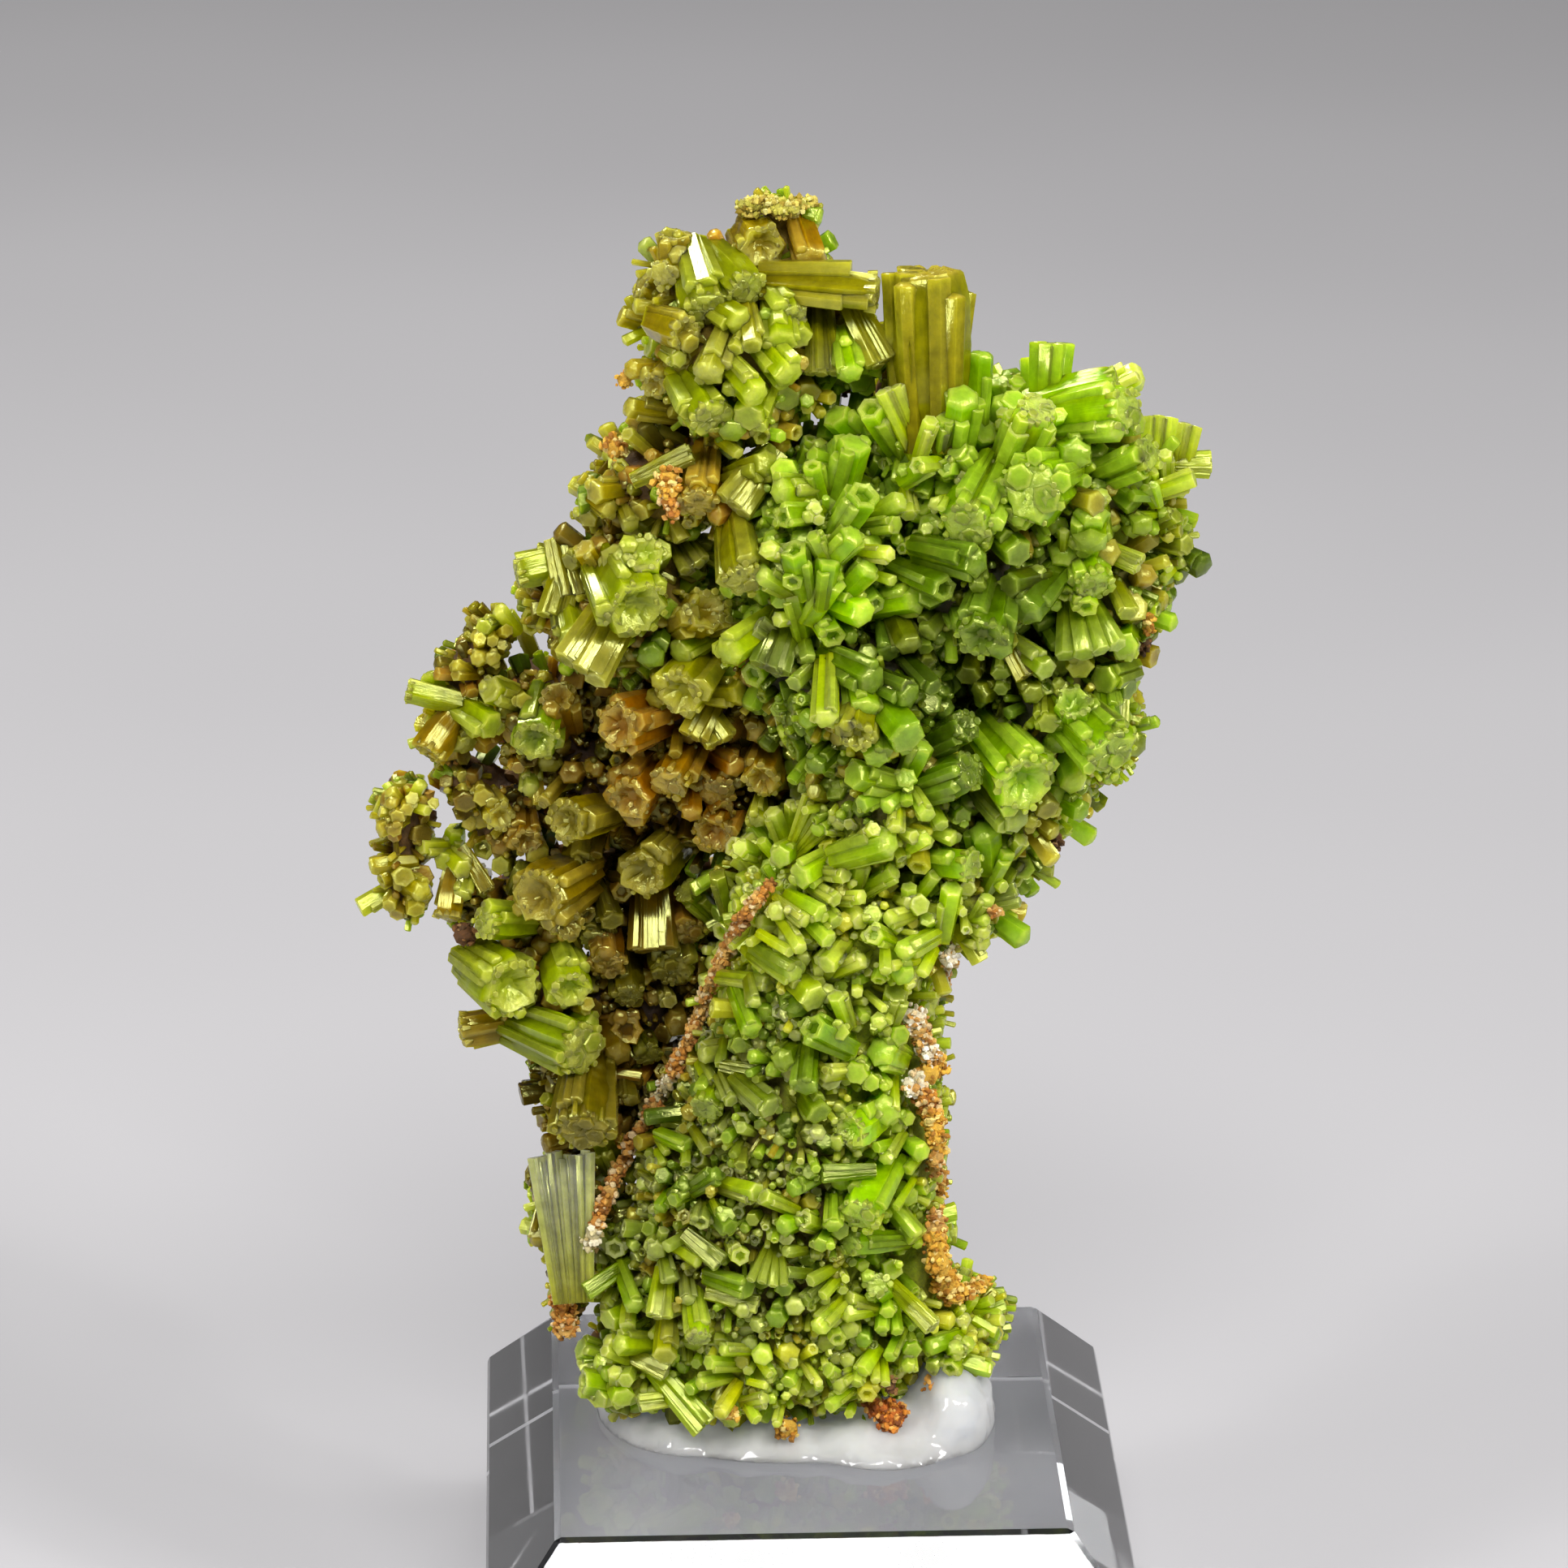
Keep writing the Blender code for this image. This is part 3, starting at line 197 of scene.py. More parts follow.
RIGHT_CRYSTALS = [
    (1295, 424, 4, -62, 6, 50, "Ls"), (1373, 476, 66, -14, 12, 50, "Lb"), (1401, 464, 38, -18, 4, 40, "Pp"),
    (1384, 508, 82, -8, 18, 60, "Lb"), (1398, 508, 14, 0, 2, 16, "Pp"), (1396, 542, 42, 8, 6, 24, "Op"),
    (1427, 512, 2, -42, 2, 42, "Ps"), (1466, 522, 10, -48, 2, 30, "Ps"), (1492, 573, 36, 0, 2, 34, "Ps"),
    (1412, 562, 54, -22, 14, 46, "Lb"), (1434, 560, -2, -24, 6, 20, "Pp"),
    (1470, 590, 34, -12, 6, 26, "Pp"), (1393, 612, -24, 0, 10, 18, "Lp"), (1420, 598, -4, -12, 8, 16, "Lp"),
    (1410, 602, -6, -8, 8, 16, "Lp"), (1432, 630, -2, -16, 8, 16, "Lp"), (1421, 656, 2, 12, 8, 16, "Fp"),
    (1400, 638, -14, 2, 6, 14, "Lp"), (1448, 636, 16, -8, 4, 22, "Op"), (1455, 655, 12, 0, 4, 16, "Op"),
    (1440, 664, 4, 6, 8, 16, "Op"), (1462, 672, 18, 4, 4, 26, "Op"), (1408, 655, -8, 8, 6, 14, "Lp"),
    (1268, 608, -16, 8, 40, 88, "Lb"), (1276, 508, 26, -56, 14, 54, "Lb"),
    (1262, 522, 10, -40, 20, 40, "Lp"), (1242, 506, -6, -12, 8, 18, "Pp"),
    (1344, 633, 2, -24, 26, 44, "Lp"), (1358, 609, 8, -12, 10, 20, "Pp"),
    (1334, 616, -6, -10, 12, 22, "Lp"), (1310, 654, 0, -8, 8, 16, "Pp"), (1342, 670, -2, 22, 14, 46, "Fp"),
    (1404, 697, 44, 20, 10, 28, "Ps"), (1308, 582, -8, 6, 10, 18, "Fp"), (1323, 592, 0, 10, 10, 18, "Fp"),
    (1339, 594, 10, 2, 10, 18, "Fp"), (1327, 562, 4, 4, 18, 42, "Fp"), (1254, 684, 24, 24, 10, 42, "Dp"),
    (1304, 682, -6, -4, 20, 40, "Lp"), (1347, 722, 12, 36, 18, 52, "Lb"), (1312, 734, -2, 24, 14, 26, "Fh"),
    (1338, 750, 4, 18, 16, 32, "Lh"), (1388, 757, 12, 28, 6, 26, "Op"), (1346, 810, 12, 52, 14, 62, "Gf"),
    (1262, 754, -26, 30, 12, 44, "Fp"), (1275, 705, -4, -8, 12, 24, "Pp"),
    (1243, 722, -16, 4, 12, 36, "Dp"), (1262, 834, 18, 36, 8, 28, "As"), (1288, 826, 26, 22, 8, 30, "Gp"),
    (1303, 796, 8, 14, 6, 22, "Dp"), (1330, 824, 0, 14, 16, 36, "Op"), (1384, 797, -2, 6, 18, 36, "Lp"),
    (1397, 795, 6, 0, 12, 20, "Pp"), (1358, 838, -12, 4, 18, 38, "Fp"), (1396, 840, 14, 2, 12, 33, "Lp"),
    (1365, 884, 2, 34, 10, 30, "Fp"), (1382, 888, -2, 38, 10, 20, "Ps"), (1321, 866, -4, -16, 26, 50, "Fc"),
    (1368, 930, 40, 42, 30, 76, "Lb"), (1291, 892, 0, 8, 12, 30, "Op"), (1232, 832, -2, 12, 12, 24, "Pp"),
    (1232, 850, -2, 10, 12, 20, "Pp"), (1206, 854, -14, 8, 12, 30, "Op"), (1272, 856, 4, 6, 14, 30, "Op"),
    (1433, 714, -4, 4, 6, 14, "Pp"), (1457, 692, 10, -4, 2, 18, "Pp"), (1440, 702, 4, 6, 4, 14, "Pp"),
    (1262, 966, 46, 58, 34, 84, "Lc"), (1237, 889, 2, -8, 10, 20, "Pp"), (1332, 1000, 14, 8, 8, 30, "Fp"),
    (1252, 1010, 26, 26, 14, 42, "Gp"), (1211, 1024, -2, -16, 18, 42, "Fp"),
    (1270, 1013, 2, 2, 14, 20, "Op"), (1240, 1045, 14, -30, 10, 30, "Lp"),
    (1257, 1034, 4, -6, 10, 20, "Pp"), (1201, 1071, 6, 2, 8, 16, "Pp"), (1236, 1094, 8, 6, 8, 18, "Pp"),
    (1254, 1102, 24, -6, 4, 34, "Gs"), (1216, 1106, 8, -14, 8, 22, "Pp"), (1215, 1133, 8, 0, 8, 16, "Pp"),
    (1213, 1150, 6, 4, 8, 24, "Pp"), (1187, 1124, 6, 4, 10, 16, "Pp"), (1139, 1136, -8, 2, 12, 24, "Lp"),
    (1208, 788, -10, 36, 36, 64, "Lc"), (1192, 834, -4, 14, 14, 32, "Op"), (1204, 724, 0, 20, 4, 22, "Dp"),
    (1188, 650, -24, 48, 34, 78, "Lb"), (1202, 694, 50, 14, 14, 40, "Dp"), (1160, 692, 2, 14, 10, 16, "Fp"),
]
SPRAY_CRYSTALS = [
    (960, 606, -30, 2, 10, 36, "Pp"), (1064, 612, 26, -38, 14, 42, "Lh"), (964, 638, -20, 2, 16, 30, "Lh"),
    (995, 638, -8, 4, 16, 18, "Pp"), (1009, 642, 2, 6, 16, 16, "Pp"), (1001, 621, -2, -10, 14, 20, "Pp"),
    (1050, 660, 14, -14, 16, 34, "Lp"), (1108, 618, 32, -18, 8, 26, "Pp"), (1120, 636, 2, 16, 12, 22, "Pp"),
    (1103, 648, 26, -2, 10, 26, "Lp"), (1141, 657, 0, 2, 14, 18, "Pp"), (1153, 622, -4, 2, 10, 22, "Pp"),
    (936, 682, -28, 0, 8, 25, "Pp"), (978, 678, -8, -36, 14, 34, "Lh"), (1002, 661, -12, -22, 8, 20, "Lp"),
    (1020, 690, 4, -28, 16, 32, "Lp"), (1028, 718, 14, -20, 18, 34, "Lp"), (1096, 684, 32, 4, 8, 20, "Pp"),
    (1070, 700, 16, -16, 10, 30, "Lp"), (1100, 716, 16, 6, 6, 16, "Pp"), (1162, 727, 50, 24, 10, 34, "Lh"),
    (1128, 738, 54, -8, 12, 38, "Lp"), (1064, 756, 28, 12, 22, 38, "Lp"), (1063, 733, 8, -4, 16, 20, "Pp"),
    (976, 730, -10, -38, 16, 30, "Lh"), (938, 708, -20, -12, 12, 26, "Pp"),
    (1026, 786, 14, 24, 24, 34, "Lh"), (1049, 786, 8, 10, 14, 20, "Lp"), (996, 813, 6, 24, 12, 22, "Pp"),
    (958, 764, -14, 2, 12, 22, "Pp"), (948, 824, -10, 28, 12, 56, "Gs"), (932, 770, -14, -10, 10, 30, "Gs"),
    (978, 843, -18, 18, 8, 24, "Pp"), (1121, 796, 12, 28, 10, 34, "Op"), (1094, 806, 2, 14, 12, 28, "Fp"),
    (1074, 838, 36, 18, 20, 42, "Lp"), (1121, 850, 28, 12, 8, 28, "Dp"), (1150, 848, 22, 24, 8, 26, "Dp"),
    (1140, 800, 2, 14, 10, 22, "Fp"), (1143, 816, 2, 10, 8, 20, "Op"), (1017, 886, -2, 54, 14, 33, "Pp"),
    (1065, 876, 6, 28, 10, 40, "Lp"), (1055, 908, -6, 30, 18, 46, "Oc"), (1080, 934, 2, 24, 12, 34, "Fp"),
    (1117, 910, 26, 34, 20, 50, "Fp"), (1120, 858, 30, 14, 8, 34, "Fp"), (1188, 894, 44, -24, 16, 40, "Dc"),
    (1051, 954, -46, -12, 14, 36, "Fp"), (1116, 958, 0, -4, 22, 28, "Lp"),
    (1136, 920, 12, -26, 12, 30, "Lp"), (1193, 950, 56, -20, 22, 50, "Lb"),
    (1142, 1004, 14, 24, 12, 27, "Lp"), (1117, 990, 2, 12, 12, 18, "Lp"),
    (1091, 994, -16, 14, 12, 22, "Lp"), (1103, 1021, -2, 24, 8, 22, "Pp"),
    (1061, 991, -28, 12, 8, 22, "Fp"), (1004, 944, -16, 16, 6, 30, "Dp"),
    (1016, 993, 34, -50, 16, 34, "Pf"), (952, 1000, -14, -38, 12, 26, "Pp"),
    (975, 989, 0, -32, 8, 20, "Pp"), (938, 1035, -12, -16, 8, 16, "Lp"), (961, 1056, -8, 6, 20, 32, "Lp"),
    (985, 1080, -24, 14, 16, 40, "Lp"), (1042, 1078, 36, 4, 10, 24, "Pp"),
    (1030, 1108, 24, 14, 10, 24, "Pp"), (1062, 1105, 28, 0, 8, 24, "Pp"),
    (1094, 1038, 46, -14, 14, 44, "Lp"), (1080, 1015, 14, -16, 6, 22, "Pp"),
    (1060, 1064, 2, -12, 16, 24, "Lp"), (1101, 1073, 30, -20, 8, 26, "Lp"),
    (1148, 1027, 26, -20, 6, 20, "Lp"), (1196, 1066, 50, 6, 12, 42, "Lb"),
    (1152, 1077, 18, -26, 8, 22, "Lp"), (1120, 1092, 0, -16, 10, 24, "Fp"),
    (1172, 1094, 8, -54, 12, 32, "Lp"), (1186, 1006, 4, 4, 14, 24, "Fp"), (1160, 1018, 4, 8, 8, 22, "Fp"),
]
WING_CRYSTALS = [
    (850, 558, 44, -22, 8, 28, "Ps"), (860, 622, -6, 38, 26, 50, "Ab"), (903, 624, -26, 36, 16, 50, "Gs"),
    (910, 560, 18, 14, 6, 16, "Pp"), (946, 572, 14, -4, 16, 40, "Fp"), (858, 662, 2, -14, 16, 44, "Gs"),
    (858, 700, 10, 16, 16, 44, "Gs"), (900, 700, 18, 8, 12, 20, "Lp"), (757, 681, -8, -10, 14, 40, "Pp"),
    (812, 678, 24, -18, 26, 54, "Lc"), (720, 676, -8, -12, 12, 30, "Op"), (702, 694, -14, 6, 8, 26, "Dp"),
    (724, 591, -4, -6, 6, 18, "Op"), (732, 608, -14, 2, 10, 32, "Op"), (753, 628, 6, 4, 8, 26, "Op"),
    (709, 634, -12, 4, 4, 16, "Pp"), (724, 640, -4, 8, 8, 28, "Op"), (716, 588, -10, -8, 4, 18, "Op"),
    (778, 648, 4, 10, 4, 24, "Dp"), (784, 752, 18, 30, 44, 84, "Lc"), (874, 742, 26, -28, 26, 58, "Oc"),
    (909, 756, 16, -6, 18, 36, "Oc"), (918, 716, 8, 50, 14, 56, "Ob"), (704, 735, 6, 30, 10, 50, "Gs"),
    (639, 706, -46, 10, 12, 42, "Lb"), (662, 682, -32, -6, 6, 30, "Fp"), (596, 774, -6, 2, 16, 22, "Lp"),
    (623, 781, 2, 2, 12, 18, "Op"), (608, 791, 0, 4, 12, 16, "Op"), (589, 812, -6, 2, 14, 22, "Op"),
    (608, 812, 2, 2, 14, 22, "Op"), (623, 797, 4, 0, 10, 16, "Op"), (583, 791, -8, 0, 10, 18, "Op"),
    (616, 751, -8, -10, 8, 22, "Pp"), (600, 762, -8, -4, 6, 16, "Pp"), (686, 760, -4, 24, 14, 46, "Fs"),
    (707, 785, 6, 24, 12, 40, "Fp"), (562, 820, -10, -6, 6, 18, "Op"), (562, 831, -10, 0, 8, 18, "Op"),
    (503, 850, -46, -12, 6, 32, "Lb"), (530, 832, -14, -24, 4, 28, "Lp"), (604, 850, -18, -6, 20, 34, "Pp"),
    (646, 864, 2, 2, 14, 23, "Op"), (688, 858, -4, -14, 24, 44, "Ac"), (608, 896, 32, 20, 16, 38, "Lp"),
    (528, 928, -16, 22, 8, 46, "Ac"), (662, 914, -6, 36, 30, 60, "Lc"), (575, 918, 4, 8, 6, 34, "Dp"),
    (716, 826, -34, 60, 22, 74, "Gs"), (760, 896, -48, 16, 26, 64, "Ac"), (838, 856, -26, 34, 30, 66, "Lc"),
    (805, 862, -16, 8, 16, 28, "Lp"), (838, 804, -18, 10, 14, 36, "Lp"), (914, 854, 34, 2, 10, 34, "Lp"),
    (897, 804, -38, 28, 14, 44, "Lp"), (856, 908, -12, 26, 16, 40, "Ls"), (890, 914, 20, 30, 10, 40, "Ls"),
    (832, 930, -2, 20, 8, 18, "Dp"), (826, 966, -14, 26, 20, 54, "Ob"), (775, 986, -20, 26, 24, 62, "Ac"),
    (908, 946, 16, 10, 12, 30, "Ap"), (853, 1004, 0, 28, 8, 28, "Ap"), (884, 978, 0, 10, 12, 50, "Ab"),
    (891, 1004, 6, 14, 10, 34, "Ac"), (671, 988, -18, 22, 8, 20, "Op"), (938, 962, -10, 30, 14, 50, "Oc"),
    (932, 1012, -2, 10, 14, 28, "Ob"), (937, 905, 0, 14, 6, 40, "Dp"), (481, 975, -8, -10, 8, 20, "Op"),
    (512, 982, 4, -4, 10, 20, "Op"), (482, 990, -6, 0, 12, 20, "Op"), (503, 998, 2, 4, 12, 18, "Op"),
    (491, 1007, -2, 6, 12, 20, "Op"), (468, 1022, -12, 6, 6, 22, "Op"), (487, 1024, 0, 6, 8, 22, "Ap"),
    (520, 965, 6, -10, 6, 18, "Pp"), (528, 999, 8, 2, 6, 16, "Pp"), (468, 1000, -12, -2, 4, 16, "Op"),
    (457, 1065, -28, 2, 6, 26, "Ob"), (471, 1084, -12, 6, 10, 22, "Oc"), (493, 1091, 2, 4, 12, 18, "Op"),
    (491, 1079, 0, -2, 12, 18, "Op"), (522, 1100, 24, 14, 8, 30, "Op"), (443, 1120, -32, 20, 4, 26, "Pp"),
    (480, 1116, -4, 8, 12, 20, "Op"), (514, 1122, 4, 18, 8, 26, "Op"), (489, 1128, -2, 8, 6, 22, "Ap"),
    (518, 1043, -24, 0, 10, 26, "Pp"), (562, 1020, 2, -28, 10, 26, "Lb"), (546, 1062, -10, 6, 16, 26, "Lp"),
    (573, 1072, 12, 10, 18, 28, "Pp"), (570, 1104, -4, 20, 10, 26, "Lp"), (602, 1098, 20, 34, 8, 24, "Os"),
    (552, 1132, -4, 26, 4, 36, "Ab"), (575, 971, 6, -4, 8, 18, "Op"), (596, 983, 2, 4, 14, 26, "Op"),
    (535, 990, 0, 0, 8, 16, "Op"), (617, 1008, 4, 6, 12, 38, "Oc"), (650, 1038, 2, 14, 14, 42, "Ac"),
    (655, 974, 0, 20, 10, 26, "Pp"), (698, 1012, -38, 10, 20, 62, "Oc"), (712, 1078, -2, 20, 12, 48, "Ob"),
    (617, 1067, -2, 2, 8, 26, "Dp"), (646, 1068, 4, -8, 8, 26, "Dp"), (664, 1104, -44, 24, 26, 80, "Oc"),
    (705, 1140, 26, 18, 16, 42, "Oc"), (598, 1135, -52, -2, 14, 46, "Lb"),
    (636, 1216, 44, 26, 30, 80, "Lc"), (568, 1269, -50, 8, 6, 44, "Ac"), (722, 1290, 82, 28, 20, 74, "Lb"),
    (732, 1262, 20, 2, 10, 28, "Lp"), (762, 1300, 6, 12, 10, 40, "Op"), (718, 1392, -6, 72, 12, 76, "Ob"),
    (665, 1378, -12, 0, 4, 28, "Ap"), (672, 1410, -12, 4, 4, 28, "Ap"), (671, 1352, -10, -4, 4, 18, "Fp"),
    (650, 1300, -10, 6, 2, 22, "Ap"), (739, 1396, -16, -40, 12, 34, "Fp"), (808, 1342, -4, 2, 12, 26, "Fp"),
    (778, 1356, 2, 10, 6, 26, "Dp"), (692, 1412, -12, -146, 8, 78, "Sw"), (664, 1530, -4, 24, 8, 24, "Op"),
]
RECESS_CRYSTALS = [
    (878, 1028, -6, 10, 14, 58, "Ac"), (792, 1078, -30, 32, 26, 68, "Oc"), (806, 1170, 2, 56, 12, 64, "Os"),
    (750, 1190, 4, 40, 14, 52, "Ab"), (755, 1136, 8, 22, 6, 32, "Dp"), (706, 1220, 16, 36, 26, 58, "Lc"),
    (776, 1228, 4, 34, 6, 42, "Db"), (773, 1268, 0, 2, 18, 44, "Ah"), (830, 1196, 4, 24, 8, 60, "Db"),
    (826, 1234, 2, 4, 8, 22, "Gp"), (846, 1095, -40, -40, 14, 32, "Lb"), (884, 1077, -8, -34, 8, 22, "Lp"),
    (899, 1046, -38, -6, 8, 27, "Lp"), (850, 1150, 4, 20, 6, 46, "Ab"), (860, 1110, 6, 16, 6, 40, "Db"),
    (735, 1160, 0, 18, 4, 40, "Db"), (800, 1300, 4, 10, 4, 36, "Db"),
]
PILLAR_CRYSTALS = [
    (941, 1194, 24, 24, 8, 16, "Pp"), (947, 1210, 56, 6, 12, 27, "Gp"), (926, 1268, 18, 44, 14, 35, "Lp"),
    (930, 1236, 4, 18, 8, 22, "Gp"), (986, 1168, 26, 38, 14, 22, "Pp"), (973, 1172, 38, 22, 14, 17, "Pp"),
    (979, 1200, 40, 24, 14, 33, "Lp"), (1004, 1230, 30, 28, 10, 44, "Dp"), (984, 1244, 8, 20, 8, 38, "Fp"),
    (992, 1134, 30, 22, 8, 22, "Pp"), (1011, 1125, 30, 16, 10, 28, "Lp"),
    (1021, 1158, 22, 22, 12, 27, "Lp"), (1030, 1136, 8, 10, 8, 22, "Fp"),
    (1066, 1131, -10, 2, 14, 26, "Lp"), (1094, 1132, -14, 4, 12, 25, "Pp"),
    (1067, 1160, -28, 6, 14, 30, "Lh"), (1110, 1172, -28, 14, 14, 29, "Lp"),
    (1098, 1190, -26, 6, 8, 18, "Pp"), (1091, 1196, 0, 22, 8, 20, "Gp"), (1062, 1182, 20, -10, 8, 25, "Pp"),
    (1032, 1176, 4, -6, 8, 30, "Gp"), (1011, 1196, 2, 6, 10, 22, "Pp"), (1056, 1223, 0, 4, 12, 18, "Pp"),
    (1030, 1226, -10, -26, 12, 26, "Lp"), (1000, 1264, -32, -18, 18, 42, "Lh"),
    (1034, 1270, -2, -2, 22, 27, "Lp"), (1075, 1252, -8, -10, 14, 25, "Lp"),
    (1103, 1222, 4, -14, 12, 36, "Dp"), (1093, 1258, -8, 26, 8, 16, "Lp"),
    (1088, 1292, -4, -6, 18, 46, "Lp"), (964, 1305, -8, 6, 20, 38, "Fp"), (992, 1338, -4, 34, 14, 38, "Fp"),
    (1013, 1321, -28, 2, 10, 26, "Pp"), (1054, 1322, -4, 4, 16, 34, "Lp"), (1074, 1334, 0, 4, 18, 25, "Lp"),
    (1102, 1366, 0, 36, 10, 18, "Pp"), (1074, 1368, -4, -4, 20, 34, "Lp"), (911, 1288, -2, 8, 16, 30, "Fp"),
    (888, 1312, -2, 18, 10, 22, "Gp"), (942, 1322, 36, 6, 10, 30, "Gs"), (882, 1347, 16, 30, 10, 27, "Pp"),
    (902, 1356, 10, 20, 8, 25, "Gp"), (950, 1364, 32, 26, 12, 38, "Gp"), (870, 1366, -6, 14, 16, 52, "Fb"),
    (1010, 1372, 6, 8, 12, 38, "Fp"), (1135, 1199, -12, 22, 8, 20, "Pp"), (1208, 1184, 14, 22, 2, 28, "Op"),
    (1213, 1162, 14, 4, 4, 26, "Pp"), (1084, 1258, -8, -20, 10, 26, "Lp"), (1092, 1368, 4, 4, 20, 46, "Lp"),
    (1120, 1378, 6, 4, 12, 22, "Lp"), (1046, 1392, -28, 16, 20, 56, "Lc"),
    (1029, 1408, -6, 6, 12, 25, "Pp"), (1090, 1428, -16, 24, 10, 22, "Pp"),
    (1079, 1413, -8, 2, 12, 18, "Lp"), (1117, 1441, -18, 20, 10, 18, "Pp"),
    (1130, 1425, 6, 12, 8, 16, "Lp"), (1142, 1420, 8, 6, 6, 16, "Lp"), (1012, 1444, -50, 2, 16, 30, "Ls"),
    (1058, 1496, -34, 56, 24, 64, "Lb"), (1103, 1486, -24, 34, 10, 14, "Pp"),
    (996, 1442, -6, -4, 14, 25, "Fp"), (976, 1464, -24, 10, 12, 30, "Fp"),
    (941, 1472, -36, -18, 12, 26, "Pp"), (934, 1468, 36, 8, 14, 34, "Pp"),
    (964, 1511, -16, 6, 16, 34, "Lp"), (994, 1506, -2, 2, 18, 30, "Ph"), (1027, 1510, 0, 14, 14, 29, "Fp"),
    (1010, 1534, -4, 6, 12, 28, "Lp"), (1046, 1530, -62, 0, 16, 38, "Db"),
    (1122, 1524, -2, 20, 8, 16, "Pp"), (1131, 1534, 2, 8, 8, 16, "Lp"), (998, 1577, -30, 14, 10, 22, "Pp"),
    (1013, 1595, -20, 20, 8, 18, "Pp"), (1080, 1580, -4, -8, 28, 40, "Lb"),
    (1152, 1636, 50, 48, 14, 27, "Ps"), (945, 1582, -8, 40, 10, 36, "Gf"),
    (969, 1566, -26, -4, 8, 20, "Gp"), (968, 1541, -14, 0, 8, 20, "Gp"), (966, 1588, 2, 10, 14, 32, "Fp"),
    (990, 1602, -14, 12, 10, 25, "Gp"), (1007, 1634, -28, 26, 12, 27, "Lp"),
    (1041, 1616, -36, 4, 12, 26, "Lp"), (1093, 1616, 0, 8, 16, 22, "Lp"),
    (1086, 1638, -2, 18, 12, 22, "Lp"), (1105, 1640, 2, 22, 10, 18, "Lp"), (956, 1624, -4, 6, 14, 38, "Fp"),
    (930, 1632, -20, 8, 8, 26, "Gp"), (848, 1412, 32, 12, 10, 26, "Lp"), (799, 1422, -2, 4, 10, 16, "Pp"),
    (872, 1417, 14, 20, 8, 22, "Gp"), (822, 1420, 6, 8, 8, 16, "Pp"), (817, 1434, 4, 8, 6, 16, "Pp"),
    (845, 1434, 0, 16, 8, 18, "Pp"), (789, 1457, -16, -2, 8, 22, "Gp"), (812, 1461, 8, 6, 10, 24, "Gp"),
    (845, 1458, 6, -6, 10, 24, "Fp"), (884, 1446, 18, -12, 12, 29, "Fp"), (829, 1478, -14, 6, 10, 25, "Fp"),
    (812, 1488, -6, 8, 8, 24, "Fp"), (864, 1506, -2, 8, 14, 30, "Gh"), (900, 1512, 10, 10, 12, 31, "Fp"),
    (901, 1496, 12, -4, 12, 30, "Fp"), (886, 1496, 6, 12, 6, 14, "Pp"), (757, 1538, -4, 4, 14, 36, "Gh"),
    (783, 1534, 4, 2, 10, 20, "Gp"), (808, 1540, -2, 4, 12, 34, "Gp"), (818, 1514, 4, -14, 8, 20, "Gp"),
    (827, 1576, 4, 16, 10, 26, "Gp"), (861, 1553, 28, 16, 10, 23, "Pp"), (890, 1555, 28, 22, 10, 34, "Gs"),
    (913, 1547, 4, 4, 16, 32, "Ph"), (721, 1591, -44, 28, 14, 30, "Ls"), (783, 1608, 16, 38, 16, 34, "Lp"),
    (812, 1624, -4, 32, 12, 40, "Ps"), (747, 1608, -6, 12, 8, 24, "Pp"), (748, 1624, -20, 8, 12, 38, "Fp"),
    (774, 1634, -2, 22, 8, 27, "Pp"), (862, 1646, 8, 46, 18, 35, "Lb"), (936, 1606, 52, 10, 12, 30, "Ps"),
    (923, 1585, 40, 10, 10, 36, "Fp"), (848, 1602, 2, 18, 8, 25, "Gp"),
]
